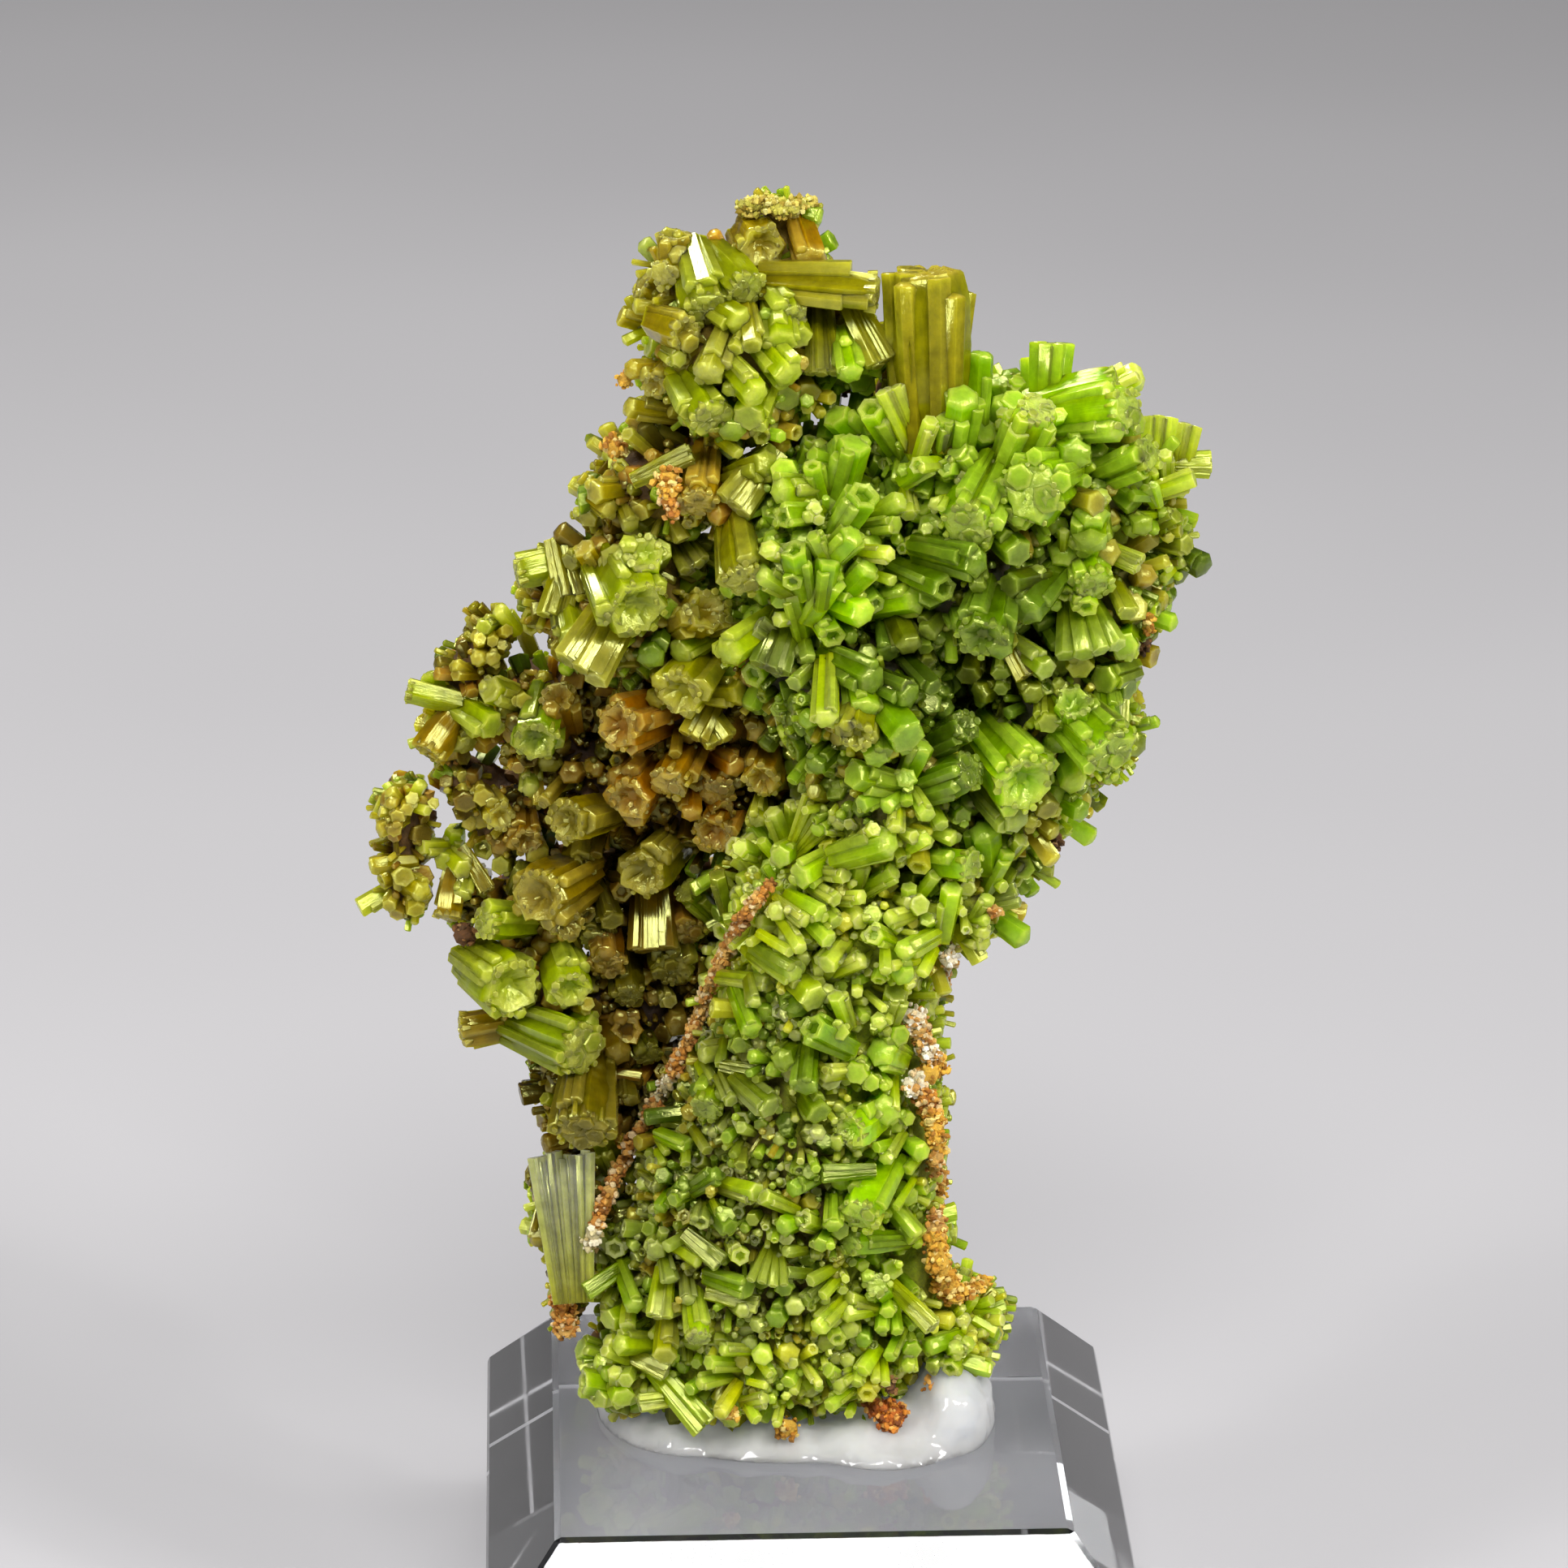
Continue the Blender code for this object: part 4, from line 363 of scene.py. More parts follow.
FOOT_CRYSTALS = [
    (762, 1654, -28, -2, 12, 34, "Fp"), (745, 1661, -36, -20, 12, 19, "Gp"),
    (823, 1690, 42, 18, 14, 31, "Gs"), (819, 1670, -2, 30, 8, 38, "Op"), (720, 1699, -24, -6, 14, 42, "Lh"),
    (758, 1688, 0, -10, 16, 26, "Pp"), (735, 1722, -10, 8, 14, 40, "Lp"), (768, 1722, 4, 8, 12, 36, "Lp"),
    (714, 1660, -12, -4, 8, 34, "Lp"), (785, 1727, -42, 4, 14, 29, "Ls"), (870, 1757, 40, 44, 16, 42, "Ls"),
    (857, 1680, -2, 4, 8, 18, "Fp"), (873, 1676, -32, -4, 8, 24, "Lp"), (890, 1660, -34, -4, 8, 21, "Lp"),
    (862, 1702, -28, 4, 10, 23, "Lp"), (887, 1740, -18, 26, 10, 25, "Yp"),
    (900, 1752, -2, 10, 10, 25, "Lp"), (933, 1748, 14, 20, 8, 20, "Lp"), (942, 1722, 14, -4, 8, 22, "Pp"),
    (949, 1693, 8, 8, 6, 14, "Pp"), (944, 1706, 14, 2, 6, 14, "Pp"), (1046, 1598, -16, -6, 10, 25, "Pp"),
    (1096, 1670, -10, 20, 12, 23, "Lp"), (1124, 1664, 4, 10, 18, 30, "Lp"),
    (1119, 1684, 0, 10, 14, 24, "Lp"), (1062, 1688, -10, 14, 12, 25, "Lp"),
    (1079, 1700, 0, 18, 8, 17, "Pp"), (1091, 1704, 2, 22, 8, 16, "Lp"), (1055, 1704, -4, 16, 10, 21, "Lp"),
    (1032, 1704, -8, 4, 14, 26, "Lp"), (1020, 1686, -12, -8, 12, 24, "Lp"),
    (1021, 1731, -28, 20, 12, 23, "Lp"), (1046, 1741, -2, 4, 12, 17, "Lp"),
    (1067, 1764, 4, 12, 12, 22, "Lb"), (1143, 1658, -28, 8, 12, 26, "Lp"),
    (1147, 1684, -8, 10, 12, 25, "Fp"), (1170, 1686, -6, 12, 18, 30, "Lh"),
    (1222, 1686, 40, 10, 10, 28, "Lb"), (1176, 1660, 0, -2, 16, 30, "Lp"),
    (1194, 1652, 8, -8, 10, 24, "Lp"), (1190, 1700, 4, 14, 6, 14, "Pp"), (1200, 1598, 4, -8, 8, 18, "Lp"),
    (1222, 1600, 12, -6, 4, 17, "Lp"), (1232, 1620, 14, 2, 4, 20, "Lp"), (1228, 1640, 12, 6, 4, 20, "Lp"),
    (1186, 1610, 4, -4, 6, 15, "Pp"),
]
CRYSTAL_ROWS = TOWER_CRYSTALS + RIGHT_CRYSTALS + SPRAY_CRYSTALS + WING_CRYSTALS
CRYSTAL_ROWS += RECESS_CRYSTALS + PILLAR_CRYSTALS + FOOT_CRYSTALS

# Outlines from root to tip: shares of the length, each with a share of the half width. The shapes are
# those of the crystals, and d domed, y pointed and x tiny
OUTLINES = {
    "p": [(0.0, 0.84), (0.5, 0.95), (1.0, 1.0)],
    "h": [(0.0, 0.82), (0.5, 0.95), (1.0, 1.0)],
    "b": [(0.0, 0.70), (0.25, 0.86), (0.5, 0.98), (0.72, 1.03), (0.9, 0.98), (1.0, 0.88)],
    "c": [(0.0, 0.78), (0.3, 0.9), (0.6, 1.0), (0.85, 1.03), (1.0, 0.98)],
    "d": [(0.0, 0.82), (0.55, 0.97), (1.0, 1.0)],
    "y": [(0.0, 0.84), (0.5, 0.95), (1.0, 1.0)],
    "x": [(0.0, 0.85), (1.0, 1.0)],
}

# Rings from the rim inwards: share of the half width, sink in half widths, unevenness, paleness.
# A paleness below zero is painted shade deep in a hollow end
ENDS = {
    "p": [(0.88, 0.0, 0.012, 1.0), (0.55, 0.0, 0.03, 0.45)],
    "h": [(0.88, 0.0, 0.02, 1.0), (0.58, 0.06, 0.04, 1.0), (0.40, 0.42, 0.05, -0.5)],
    "b": [(0.90, 0.0, 0.03, 0.9), (0.62, -0.03, 0.08, 1.0), (0.30, 0.0, 0.08, 0.9)],
    "c": [(0.90, 0.0, 0.04, 1.0), (0.70, 0.06, 0.07, 1.0), (0.48, 0.26, 0.10, 0.5), (0.24, 0.40, 0.09, 0.1)],
    "d": [(0.88, -0.04, 0.02, 1.0), (0.62, -0.18, 0.05, 0.6), (0.30, -0.25, 0.04, 0.5)],
    "y": [(0.80, -0.10, 0.02, 0.9), (0.42, -0.30, 0.03, 0.5)],
    "x": [(0.60, -0.20, 0.03, 0.8)],
}

# Colours of the crystals, as sRGB from 0 to 255: the body and the paler frosted end
# D, B and K also serve as painted shade where the shade, gloom and recess zones use them
TONES = {
    "L": ((144, 194, 2), (178, 204, 70)), "F": ((114, 154, 2), (152, 180, 58)),
    "D": ((54, 78, 2), (100, 120, 38)), "O": ((148, 128, 2), (182, 172, 68)),
    "A": ((148, 90, 2), (178, 142, 56)), "P": ((184, 212, 14), (212, 222, 112)),
    "G": ((130, 144, 30), (176, 184, 108)), "B": ((78, 52, 2), (120, 94, 32)),
    "K": ((52, 36, 2), (84, 64, 18)), "S": ((186, 196, 112), (214, 220, 164)),
    "Y": ((202, 192, 8), (220, 212, 72)), "T": ((142, 134, 6), (172, 136, 34)),
}

# What covers the rock in each kind of zone: widths and lengths in mm, letters of TONES, cover, rock colour
# The shade kind's dark greens and dark rock are painted shade. The dark browns and dark rock of the gloom and
# recess kinds are partly the crystals' own brown and partly painted shade
KINDS = {
    "tower": Kind((0.8, 1.9), (1.4, 2.2), "OOOOFFLA", 1.0, (112, 92, 8)),
    "bright": Kind((0.8, 2.0), (1.5, 2.6), "LLLLLFF", 1.0, (100, 122, 4)),
    "lobe": Kind((0.8, 1.9), (1.4, 2.2), "LFFFDOO", 1.0, (80, 80, 4)),
    "shade": Kind((0.8, 1.8), (1.2, 1.8), "DDDDF", 1.0, (36, 38, 4)),
    "wing": Kind((0.8, 1.7), (1.3, 2.0), "OOOAABB", 1.0, (74, 50, 6)),
    "gloom": Kind((0.8, 1.7), (1.1, 1.8), "KBBAO", 1.0, (44, 26, 4)),
    "amber": Kind((0.9, 2.0), (1.2, 2.0), "KKBBAA", 1.0, (52, 30, 4)),
    "recess": Kind((0.8, 1.8), (1.0, 1.8), "KKKBA", 0.9, (38, 22, 4)),
    "fine": Kind((0.55, 1.5), (1.3, 2.3), "LLPPPPPY", 1.0, (126, 136, 8)),
    "grey": Kind((0.5, 1.3), (1.1, 1.9), "GDOFG", 1.0, (88, 80, 12)),
    "foot": Kind((0.6, 1.5), (1.2, 2.2), "LLPPPPY", 1.0, (140, 142, 8)),
    "side": Kind((0.6, 1.5), (1.0, 1.8), "FOODGL", 0.9, (92, 74, 16)),
    "back": Kind((0.7, 1.6), (0.9, 1.6), "ODDFA", 0.34, (112, 76, 32)),
}

# The zones of the front in the frame: middle, radius and kind
FRONT_ZONES = [Zone(*row) for row in (
    (870, 380, 120, "tower"), (960, 330, 100, "tower"), (900, 490, 90, "tower"), (790, 560, 100, "wing"),
    (850, 640, 90, "tower"), (1150, 430, 100, "bright"), (1290, 500, 140, "bright"),
    (1400, 530, 110, "bright"), (1080, 560, 120, "bright"), (1020, 690, 120, "bright"),
    (1140, 650, 120, "bright"), (1240, 640, 100, "lobe"), (1360, 660, 110, "lobe"),
    (1320, 790, 110, "lobe"), (1230, 740, 80, "shade"), (1320, 930, 110, "lobe"), (1220, 880, 90, "shade"),
    (1190, 770, 90, "shade"), (955, 890, 60, "shade"), (1240, 1040, 90, "lobe"), (1110, 820, 110, "shade"),
    (1080, 940, 110, "lobe"), (700, 720, 90, "wing"), (800, 770, 100, "tower"), (620, 820, 100, "wing"),
    (680, 930, 100, "gloom"), (820, 880, 90, "amber"), (920, 930, 90, "amber"), (770, 980, 90, "amber"),
    (560, 1050, 130, "wing"), (670, 1080, 90, "gloom"), (640, 1200, 90, "wing"), (800, 1120, 100, "recess"),
    (800, 1260, 90, "recess"), (710, 1360, 90, "recess"), (690, 1480, 70, "recess"),
    (1000, 1040, 90, "fine"), (1130, 1060, 100, "fine"), (960, 1180, 90, "fine"), (1080, 1200, 100, "fine"),
    (920, 1320, 90, "grey"), (1020, 1330, 90, "fine"), (1100, 1370, 80, "fine"), (860, 1440, 100, "grey"),
    (960, 1480, 90, "grey"), (1080, 1500, 90, "fine"), (800, 1550, 90, "grey"), (930, 1590, 90, "grey"),
    (1060, 1620, 90, "fine"), (790, 1690, 80, "foot"), (900, 1700, 90, "foot"), (1040, 1710, 90, "foot"),
    (1170, 1660, 80, "foot"),
)]

# Patches of other colour within the pillar's zones: the tones and the cast of each kind of patch
TONE_PATCHES = [Zone(*row) for row in (
    (1092, 1335, 52, "lime"), (1088, 1425, 62, "lime"), (1078, 1500, 66, "lime"), (1104, 1580, 48, "lime"),
    (1104, 1640, 44, "lime"), (972, 1285, 46, "deep"), (980, 1362, 52, "deep"), (935, 1405, 46, "deep"),
    (990, 1428, 34, "deep"),
)]
PATCH_TONES = {"lime": "LLLFLLFL", "deep": "DFDGDFGF"}
PATCH_CASTS = {"lime": ("L", 0.5), "deep": ("D", 0.5)}
PATCHED_KINDS = ("fine", "grey")

# Rusty grains of bare rock along the ridge, the right-hand edge, the tower's left and the foot:
# place in the frame, how far the patch reaches in pixels, how many grains, and their colours
GRAIN_SPOTS = [
    (947, 1091, 9, 9, "seam"), (930, 1112, 10, 10, "tan"), (915, 1132, 12, 12, "seam"),
    (901, 1160, 11, 12, "tan"), (888, 1186, 11, 11, "tan"), (872, 1218, 11, 11, "tan"),
    (862, 1246, 11, 11, "tan"), (852, 1276, 10, 11, "tan"), (836, 1306, 11, 11, "seam"),
    (818, 1340, 11, 11, "grey"), (800, 1374, 12, 12, "tan"), (776, 1412, 12, 12, "seam"),
    (757, 1452, 12, 12, "tan"), (740, 1492, 12, 12, "seam"), (728, 1528, 13, 14, "grey"),
    (712, 1566, 15, 16, "seam"), (694, 1600, 20, 26, "rust"), (698, 1632, 18, 24, "tan"),
    (1168, 1180, 14, 16, "white"), (1160, 1210, 12, 14, "rust"), (1126, 1253, 18, 22, "white"),
    (1134, 1274, 14, 18, "tan"), (1142, 1295, 14, 18, "white"), (1154, 1312, 16, 20, "gold"),
    (1120, 1338, 13, 14, "white"), (1142, 1352, 15, 18, "rust"), (1150, 1378, 17, 20, "gold"),
    (1152, 1406, 15, 18, "gold"), (1152, 1438, 14, 14, "tan"), (1154, 1466, 16, 20, "gold"),
    (1152, 1500, 13, 14, "tan"), (1152, 1532, 19, 24, "gold"), (1162, 1576, 20, 26, "gold"),
    (1176, 1596, 14, 14, "gold"), (1212, 1578, 10, 8, "gold"), (1224, 1122, 12, 10, "tan"),
    (1416, 764, 9, 8, "gold"), (1407, 800, 10, 10, "brown"), (1300, 1036, 11, 10, "brown"),
    (822, 590, 18, 20, "gold"), (829, 633, 12, 10, "rust"), (757, 553, 16, 14, "gold"),
    (770, 470, 12, 8, "gold"), (918, 258, 13, 14, "moss"), (942, 252, 13, 14, "moss"),
    (966, 262, 12, 12, "moss"), (992, 254, 14, 14, "moss"), (1082, 1734, 18, 24, "ember"),
    (1104, 1738, 18, 24, "ember"), (1094, 1750, 14, 14, "ember"), (970, 1756, 18, 18, "gold"),
    (900, 1738, 12, 10, "gold"), (1096, 1706, 13, 10, "brown"), (575, 1150, 16, 12, "brown"),
    (1150, 1708, 16, 14, "rust"), (690, 690, 10, 8, "brown"),
]
GRAIN_COLOURS = {
    "seam": [(190, 126, 40), (208, 152, 68), (142, 90, 28), (212, 184, 134)],
    "ember": [(184, 96, 18), (206, 126, 32), (130, 66, 14), (222, 162, 76)],
    "rust": [(204, 136, 40), (224, 166, 74), (164, 100, 28), (234, 200, 134)],
    "tan": [(216, 168, 84), (192, 136, 52), (230, 202, 146), (168, 108, 36)],
    "gold": [(236, 184, 62), (208, 150, 38), (244, 214, 122), (176, 118, 30)],
    "moss": [(190, 182, 66), (208, 190, 84), (164, 140, 40), (216, 206, 118)],
    "grey": [(206, 192, 142), (176, 156, 98), (226, 216, 184), (154, 124, 68)],
    "brown": [(104, 66, 30), (132, 90, 42), (80, 54, 26), (150, 114, 68)],
    "white": [(244, 230, 194), (230, 202, 150), (202, 148, 72), (248, 242, 224)],
}

# The other tones that each tone may lean towards, how far, and how much lighter or darker a crystal may be
TONE_NEIGHBOURS = {
    "L": "FPL", "F": "LDO", "D": "FO", "O": "FAG", "A": "OD", "P": "LG", "G": "PFO", "Y": "LP", "T": "O",
    "B": "AD", "K": "B", "S": "S",
}
TONE_BLEND = 0.35
TONE_LIGHT = (0.68, 1.14)

# How far the colour of a single crystal is drawn towards one tone, and how much slimmer it is, by zone
# In the shade zone the pull towards D is painted shade; in the gloom and recess zones the pull towards B is
# partly the crystals' own brown and partly painted shade
CASTS = {
    "tower": ("O", 0.45), "bright": ("L", 0.1), "lobe": ("F", 0.35), "shade": ("D", 0.75), "wing": ("O", 0.5),
    "amber": ("A", 0.6), "recess": ("B", 0.62), "fine": ("P", 0.35), "grey": ("D", 0.3), "foot": ("P", 0.35),
    "gloom": ("B", 0.45),
}
SLIMMING = {"grey": 0.82, "fine": 0.9, "foot": 0.88}

# Painted shade at a crystal's root, how soon the body reaches its own colour, and painted shade in a hollow
# end
ROOT_PAINTED_SHADE = (0.56, 0.50, 0.12)
ROOT_FADE = 1.3
HOLLOW_PAINTED_SHADE = 0.6

# A point is on the side or the back where its normal turns towards the viewer less than this
SIDE_FACING = 0.05
BACK_FACING = -0.35

# A crystal's form: uneven corners, a tilted end with a pale rim, growth steps and grooves
SIDES = 6
CORNER_TURN = 0.06
CORNER_REACH = (0.9, 1.06)
END_TILT = 0.10
BEVEL = 0.10
RIM_PALENESS = 0.35
STEPPED_CUTS = 3
STEPS_PER_CUT = 3
STEP_DEPTH = 0.026
GROOVES = (-0.08, 0.03)
SHARP_ANGLE = math.radians(43)
UPRIGHT = 0.9
GRAIN_SCALE = 0.5
GRAIN_SHIFT = 50.0

# Faces and ends that throw a front light at the viewer: the share of crystals, how far they may be tipped
# as a lean and at the tip, and how nearly square a face must already stand to be turned
GLINT_SHARE = 0.8
GLINT_SLANT = 0.26
GLINT_SHIFT = 0.5 * MM
GLINT_NEAR = 0.08
GLINT_TURNED = 0.95
END_GLINT_REACH = 0.45
END_GLINT_SHIFT = 0.9 * MM
END_GLINT_SHARE = 0.22

# Crystals are spread over this many pieces, by how nearly samples along their axes meet
GROUPS = 6
SAMPLE_SHARES = (0.1, 0.4, 0.7, 0.95)
NEAR_RADIUS = 0.9 * MM

# Single crystals: how deep they root, how far they turn to the viewer and are set back, by shape
CRYSTAL_LIFT = 0.35 * MM
ROOT_DEPTH = 2.2 * MM
ROOT_WIDTHS = 1.2
TIP_CLEARANCE = 0.3
LEAST_OUT = {"c": 1.3, "b": 1.0, "t": 0.0, "p": 0.9, "h": 1.1, "s": 0.45, "w": 0.0, "f": 0.6}
LEAST_FLAT = 0.72
SHIFTS = {"t": 1.3 * MM, "w": -2.1 * MM}
PLAIN_ENDS = "ppdy"
ALONG_SIGHT = 0.15

# The least widths for four and for three faces to a side, for nubs, for a rim and for ribs
FOUR_CUTS = 2.2 * MM
THREE_CUTS = 1.3 * MM
NUBBED_WIDTH = 1.9 * MM
RIMMED_WIDTH = 1.5 * MM
RIBBED_WIDTH = 0.9 * MM
WIDELY_RIBBED = 3.4 * MM

# Bundles: how many members, the bundle's width at its near and far end in widths, its spread along the
# length, its shortest member, how much the members overlap, and how far they stand out of line
BUNDLES = {
    "f": Bundle((4, 7), 0.3, 0.3, 0.5, 0.86, 1.75, 0.08),
    "s": Bundle((6, 9), 0.42, 0.62, 0.0, 0.94, 2.9, 0.08),
    "w": Bundle((17, 18), 0.5, 0.92, 0.0, 0.94, 2.9, 0.03),
}
MEMBER_WIDTHS = (0.85, 1.15)

# Nubs on an end, in the crystal's widths
NUB_COUNT = (3, 6)
NUB_REACH = 0.28
NUB_LEAST_AREA = 0.05
NUB_ROOT = 0.3
NUB_HEIGHTS = (-0.02, 0.05)
NUB_WIDTHS = (0.28, 0.44)

# Ribs beside a large and a small crystal, in its widths and lengths
MANY_RIBS = Ribs((7, 11), (0.22, 0.34), 0.82)
FEW_RIBS = Ribs((2, 6), (0.35, 0.6), 0.72)
RIB_SINK = 0.22
RIB_ROOT = 0.8
RIB_FLARE = (0.95, 1.1)
LONGEST_RIB = 1.01

# The tiny crystals of a rim, in the crystal's widths, and their own widths in mm
RIM_LEAST = 6
RIM_SPACING = 0.35 * MM
RIM_JITTER = 0.3
RIM_REACH = (0.33, 0.47)
RIM_LEAN = 0.25
RIM_ROOT = 0.25
RIM_HEIGHTS = (-0.05, 0.04)
RIM_WIDTHS = (0.28, 0.62)
RIM_SHARES = (0.35, 0.65)

# The crust of small crystals: tries, spacing in widths, how thin it gets, its shapes and its twins
CRUST_TRIES = 110000
CRUST_SPACING = 0.72
CRUST_ROOT = 0.5 * MM
CRUST_LEAST = 0.5 * MM
CRUST_SHAPES = "ppppdddyyyhh"
SMALL_SHARE = 1.7
PATCH_SIZE = 5.0 * MM
THIN_DRIFT = 0.9
THIN_MIDDLE = 0.5
PATCH_LIGHT = 0.45
LIGHT_PATCH_SIZE = 4.0 * MM
CLEAR_WIDTH = 1.05
CLEAR_BEFORE_END = 0.5 * MM
LEAST_SLOPE = 0.35
TWIN_SHARE = 0.4
TWIN_AWAY = 0.8
TWIN_LENGTHS = (0.78, 0.98)
TWIN_RADIUS = 0.72

# Its sprays: how far apart, how their crystals lean out and turn to the viewer, and how proud they stand
SPRAY_SPACING = 2.9 * MM
SPRAY_LEAN = 0.65
CRUST_JITTER = 0.14
FACE_VIEWER = 0.22
CRUST_PROUD = 1.2 * MM
CRUST_DOME = 2.9 * MM

# The druse in the gaps
DRUSE_TRIES = 40000
DRUSE_APART = 0.42 * MM
DRUSE_SPACING = 0.62 * MM
DRUSE_WIDTHS = (0.32 * MM, 0.62 * MM)
DRUSE_LENGTHS = (0.5 * MM, 1.3 * MM)
DRUSE_JITTER = 0.4
DRUSE_FORMS = 5

# Patches of grains: their depth, how much room they get, their crowding and what joins two near spots
GRAIN_SINK = -1.25 * MM
GRAIN_CLEARANCE = 1.7
GRAIN_CROWD = 2
GRAIN_SIZES = (0.09 * MM, 0.26 * MM)
GRAIN_SPREAD = (0.55, 1.0)
GRAIN_BRIDGE_PX = 48
GRAIN_BRIDGE_SHARES = (0.34, 0.67)
CORE_REACH = 0.72
CORE_SHADE = 0.8
GRAIN_UNEVEN = 0.28
GRAIN_SQUASH = (0.65, 1.2)

# Loose grains on the far side
BACK_GRAIN_TRIES = 8000
BACK_GRAIN_PATCH = 3.5 * MM
BACK_GRAIN_SIZES = (0.16 * MM, 0.55 * MM)
BACK_GRAIN_JITTER = 0.3
BACK_GRAIN_LEAST = -0.15
BACK_GRAIN_TINTS = ("rust", "gold", "brown")

# The studio: each light's name, place, aim, size and power. The key and fill lights have a bright core
KEY_PLACE = (0.38, -0.30, 0.44)
FILL_PLACE = (-0.42, -0.28, 0.36)
TOP_PLACE = (0.025, -0.41, 0.533)
RIM_PLACE = (-0.16, 0.24, 0.52)
LIGHT_TARGET = (0.0, 0.0, 0.06)
TOP_TARGET = (0.0, -0.018, 0.017)
CORE_NEARNESS = 0.985
CORE_SIZE = (0.03, 0.03)
LIGHTS = [
    ("key_light", KEY_PLACE, LIGHT_TARGET, (0.17, 0.15), 2.25),
    ("fill_light", FILL_PLACE, LIGHT_TARGET, (0.12, 0.15), 1.2),
    ("key_core", Vector(KEY_PLACE) * CORE_NEARNESS, LIGHT_TARGET, CORE_SIZE, 0.45),
    ("fill_core", Vector(FILL_PLACE) * CORE_NEARNESS, LIGHT_TARGET, CORE_SIZE, 0.3),
    ("top_light", TOP_PLACE, TOP_TARGET, (0.30, 0.11), 2.7),
    ("rim_light", RIM_PLACE, LIGHT_TARGET, (0.13, 0.12), 2.0),
]
SURROUND_COLOUR = (0.80, 0.80, 0.82, 1.0)
SURROUND_STRENGTH = 0.045
FLOOR_HALF = 2.5
FLOOR_CELLS = 4
FLOOR_HEIGHT = -0.0001


def linear(colour):
    """An sRGB colour from 0 to 255 as linear values."""
    shares = np.array(colour, float) / 255
    return np.where(shares <= 0.04045, shares / 12.92, ((shares + 0.055) / 1.055) ** 2.4)


def sight_axes():
    """The view's right, up and forward directions."""
    turn_sin = math.sin(VIEW_TURN)
    turn_cos = math.cos(VIEW_TURN)
    drop_sin = math.sin(VIEW_DROP)
    drop_cos = math.cos(VIEW_DROP)
    right = Vector((turn_cos, turn_sin, 0.0))
    up = Vector((-turn_sin * drop_sin, turn_cos * drop_sin, drop_cos))
    forward = Vector((-turn_sin * drop_cos, turn_cos * drop_cos, -drop_sin))
    return right, up, forward


RIGHT, UP, FORWARD = sight_axes()


def eye():
    """The view's eye point."""
    across, above, back = EYE_FROM_BLOCK_TOP
    return Vector((0.0, 0.0, BLOCK_HEIGHT)) + RIGHT * across + UP * above + FORWARD * back


EYE = eye()


def sight(x, y):
    """The direction in which the pixel (x, y) of the frame looks."""
    across = (x - MIDDLE_PX) / FOCAL_PX
    down = (y - MIDDLE_PX) / FOCAL_PX
    return (FORWARD + RIGHT * across - UP * down).normalized()


def at_depth(x, y, depth):
    """The point that the pixel (x, y) shows at this distance along +Y."""
    direction = sight(x, y)
    return EYE + direction * ((depth - EYE.y) / direction.y)


def frame_places(points):
    """Where in the frame each point shows, in pixels."""
    seen = points - np.array(EYE)
    depth = seen @ np.array(FORWARD)
    x = MIDDLE_PX + FOCAL_PX * (seen @ np.array(RIGHT)) / depth
    y = MIDDLE_PX - FOCAL_PX * (seen @ np.array(UP)) / depth
    return x, y


def unit(vectors):
    """The vectors, each at a length of 1."""
    return vectors / np.linalg.norm(vectors, axis=-1, keepdims=True)


def pick(options, chance):
    """One of the options."""
    return options[int(chance.integers(len(options)))]


def only(wanted, *columns):
    """The wanted rows of each column."""
    return [column[wanted] for column in columns]


def drift(points, size):
    """Smooth noise at each point, in patches of this size."""
    return np.array([noise.noise(Vector(point) / size) for point in points])


def point_tree(points):
    """A tree that finds the points near a place."""
    tree = KDTree(len(points))
    for number, point in enumerate(points):
        tree.insert(point, number)
    tree.balance()
    return tree


def new_object(name, mesh):
    """An object in the scene with this mesh."""
    obj = bpy.data.objects.new(name, mesh)
    bpy.context.scene.collection.objects.link(obj)
    return obj


def object_of(bm, name):
    """An object in the scene made of bm, which is freed."""
    mesh = bpy.data.meshes.new(name)
    bm.to_mesh(mesh)
    bm.free()
    return new_object(name, mesh)


def vertex_places(mesh):
    """The places of the mesh's vertices, a row for each."""
    places = np.empty(len(mesh.vertices) * 3)
    mesh.vertices.foreach_get("co", places)
    return places.reshape(-1, 3)


def set_tones(mesh, colours):
    """Gives each vertex its colour."""
    tone = mesh.color_attributes.new("Tone", "FLOAT_COLOR", "POINT")
    tone.data.foreach_set("color", colours.ravel())


def new_lumps(name, lumps, shrink):
    """One object with an ellipsoid for each lump, each drawn in by shrink."""
    bm = bmesh.new()
    for x, y, depth, *half_sizes in lumps:
        middle = Matrix.Translation(at_depth(x, y, depth * MM))
        sizes = [size * MM for size in half_sizes]
        radii = [max(size - shrink, size * LEAST_SHARE) for size in sizes]
        shape = middle @ Matrix.Diagonal((*radii, 1.0))
        bmesh.ops.create_icosphere(bm, subdivisions=LUMP_DETAIL, radius=1.0, matrix=shape)
    return object_of(bm, name)


def remesh(obj, cell):
    """Fuses the object's bodies into one skin."""
    modifier = obj.modifiers.new("Fuse", "REMESH")
    modifier.mode = "VOXEL"
    modifier.voxel_size = cell
    bpy.context.view_layer.update()
    graph = bpy.context.evaluated_depsgraph_get()
    mesh = bpy.data.meshes.new_from_object(obj.evaluated_get(graph))
    obj.modifiers.clear()
    obj.data = mesh


def soften(mesh, steps):
    """Rounds the creases where lumps meet."""
    bm = bmesh.new()
    bm.from_mesh(mesh)
    every_way = {"use_axis_x": True, "use_axis_y": True, "use_axis_z": True}
    for _ in range(steps):
        bmesh.ops.smooth_vert(bm, verts=bm.verts, factor=SOFTENING, **every_way)
    bm.to_mesh(mesh)
    bm.free()


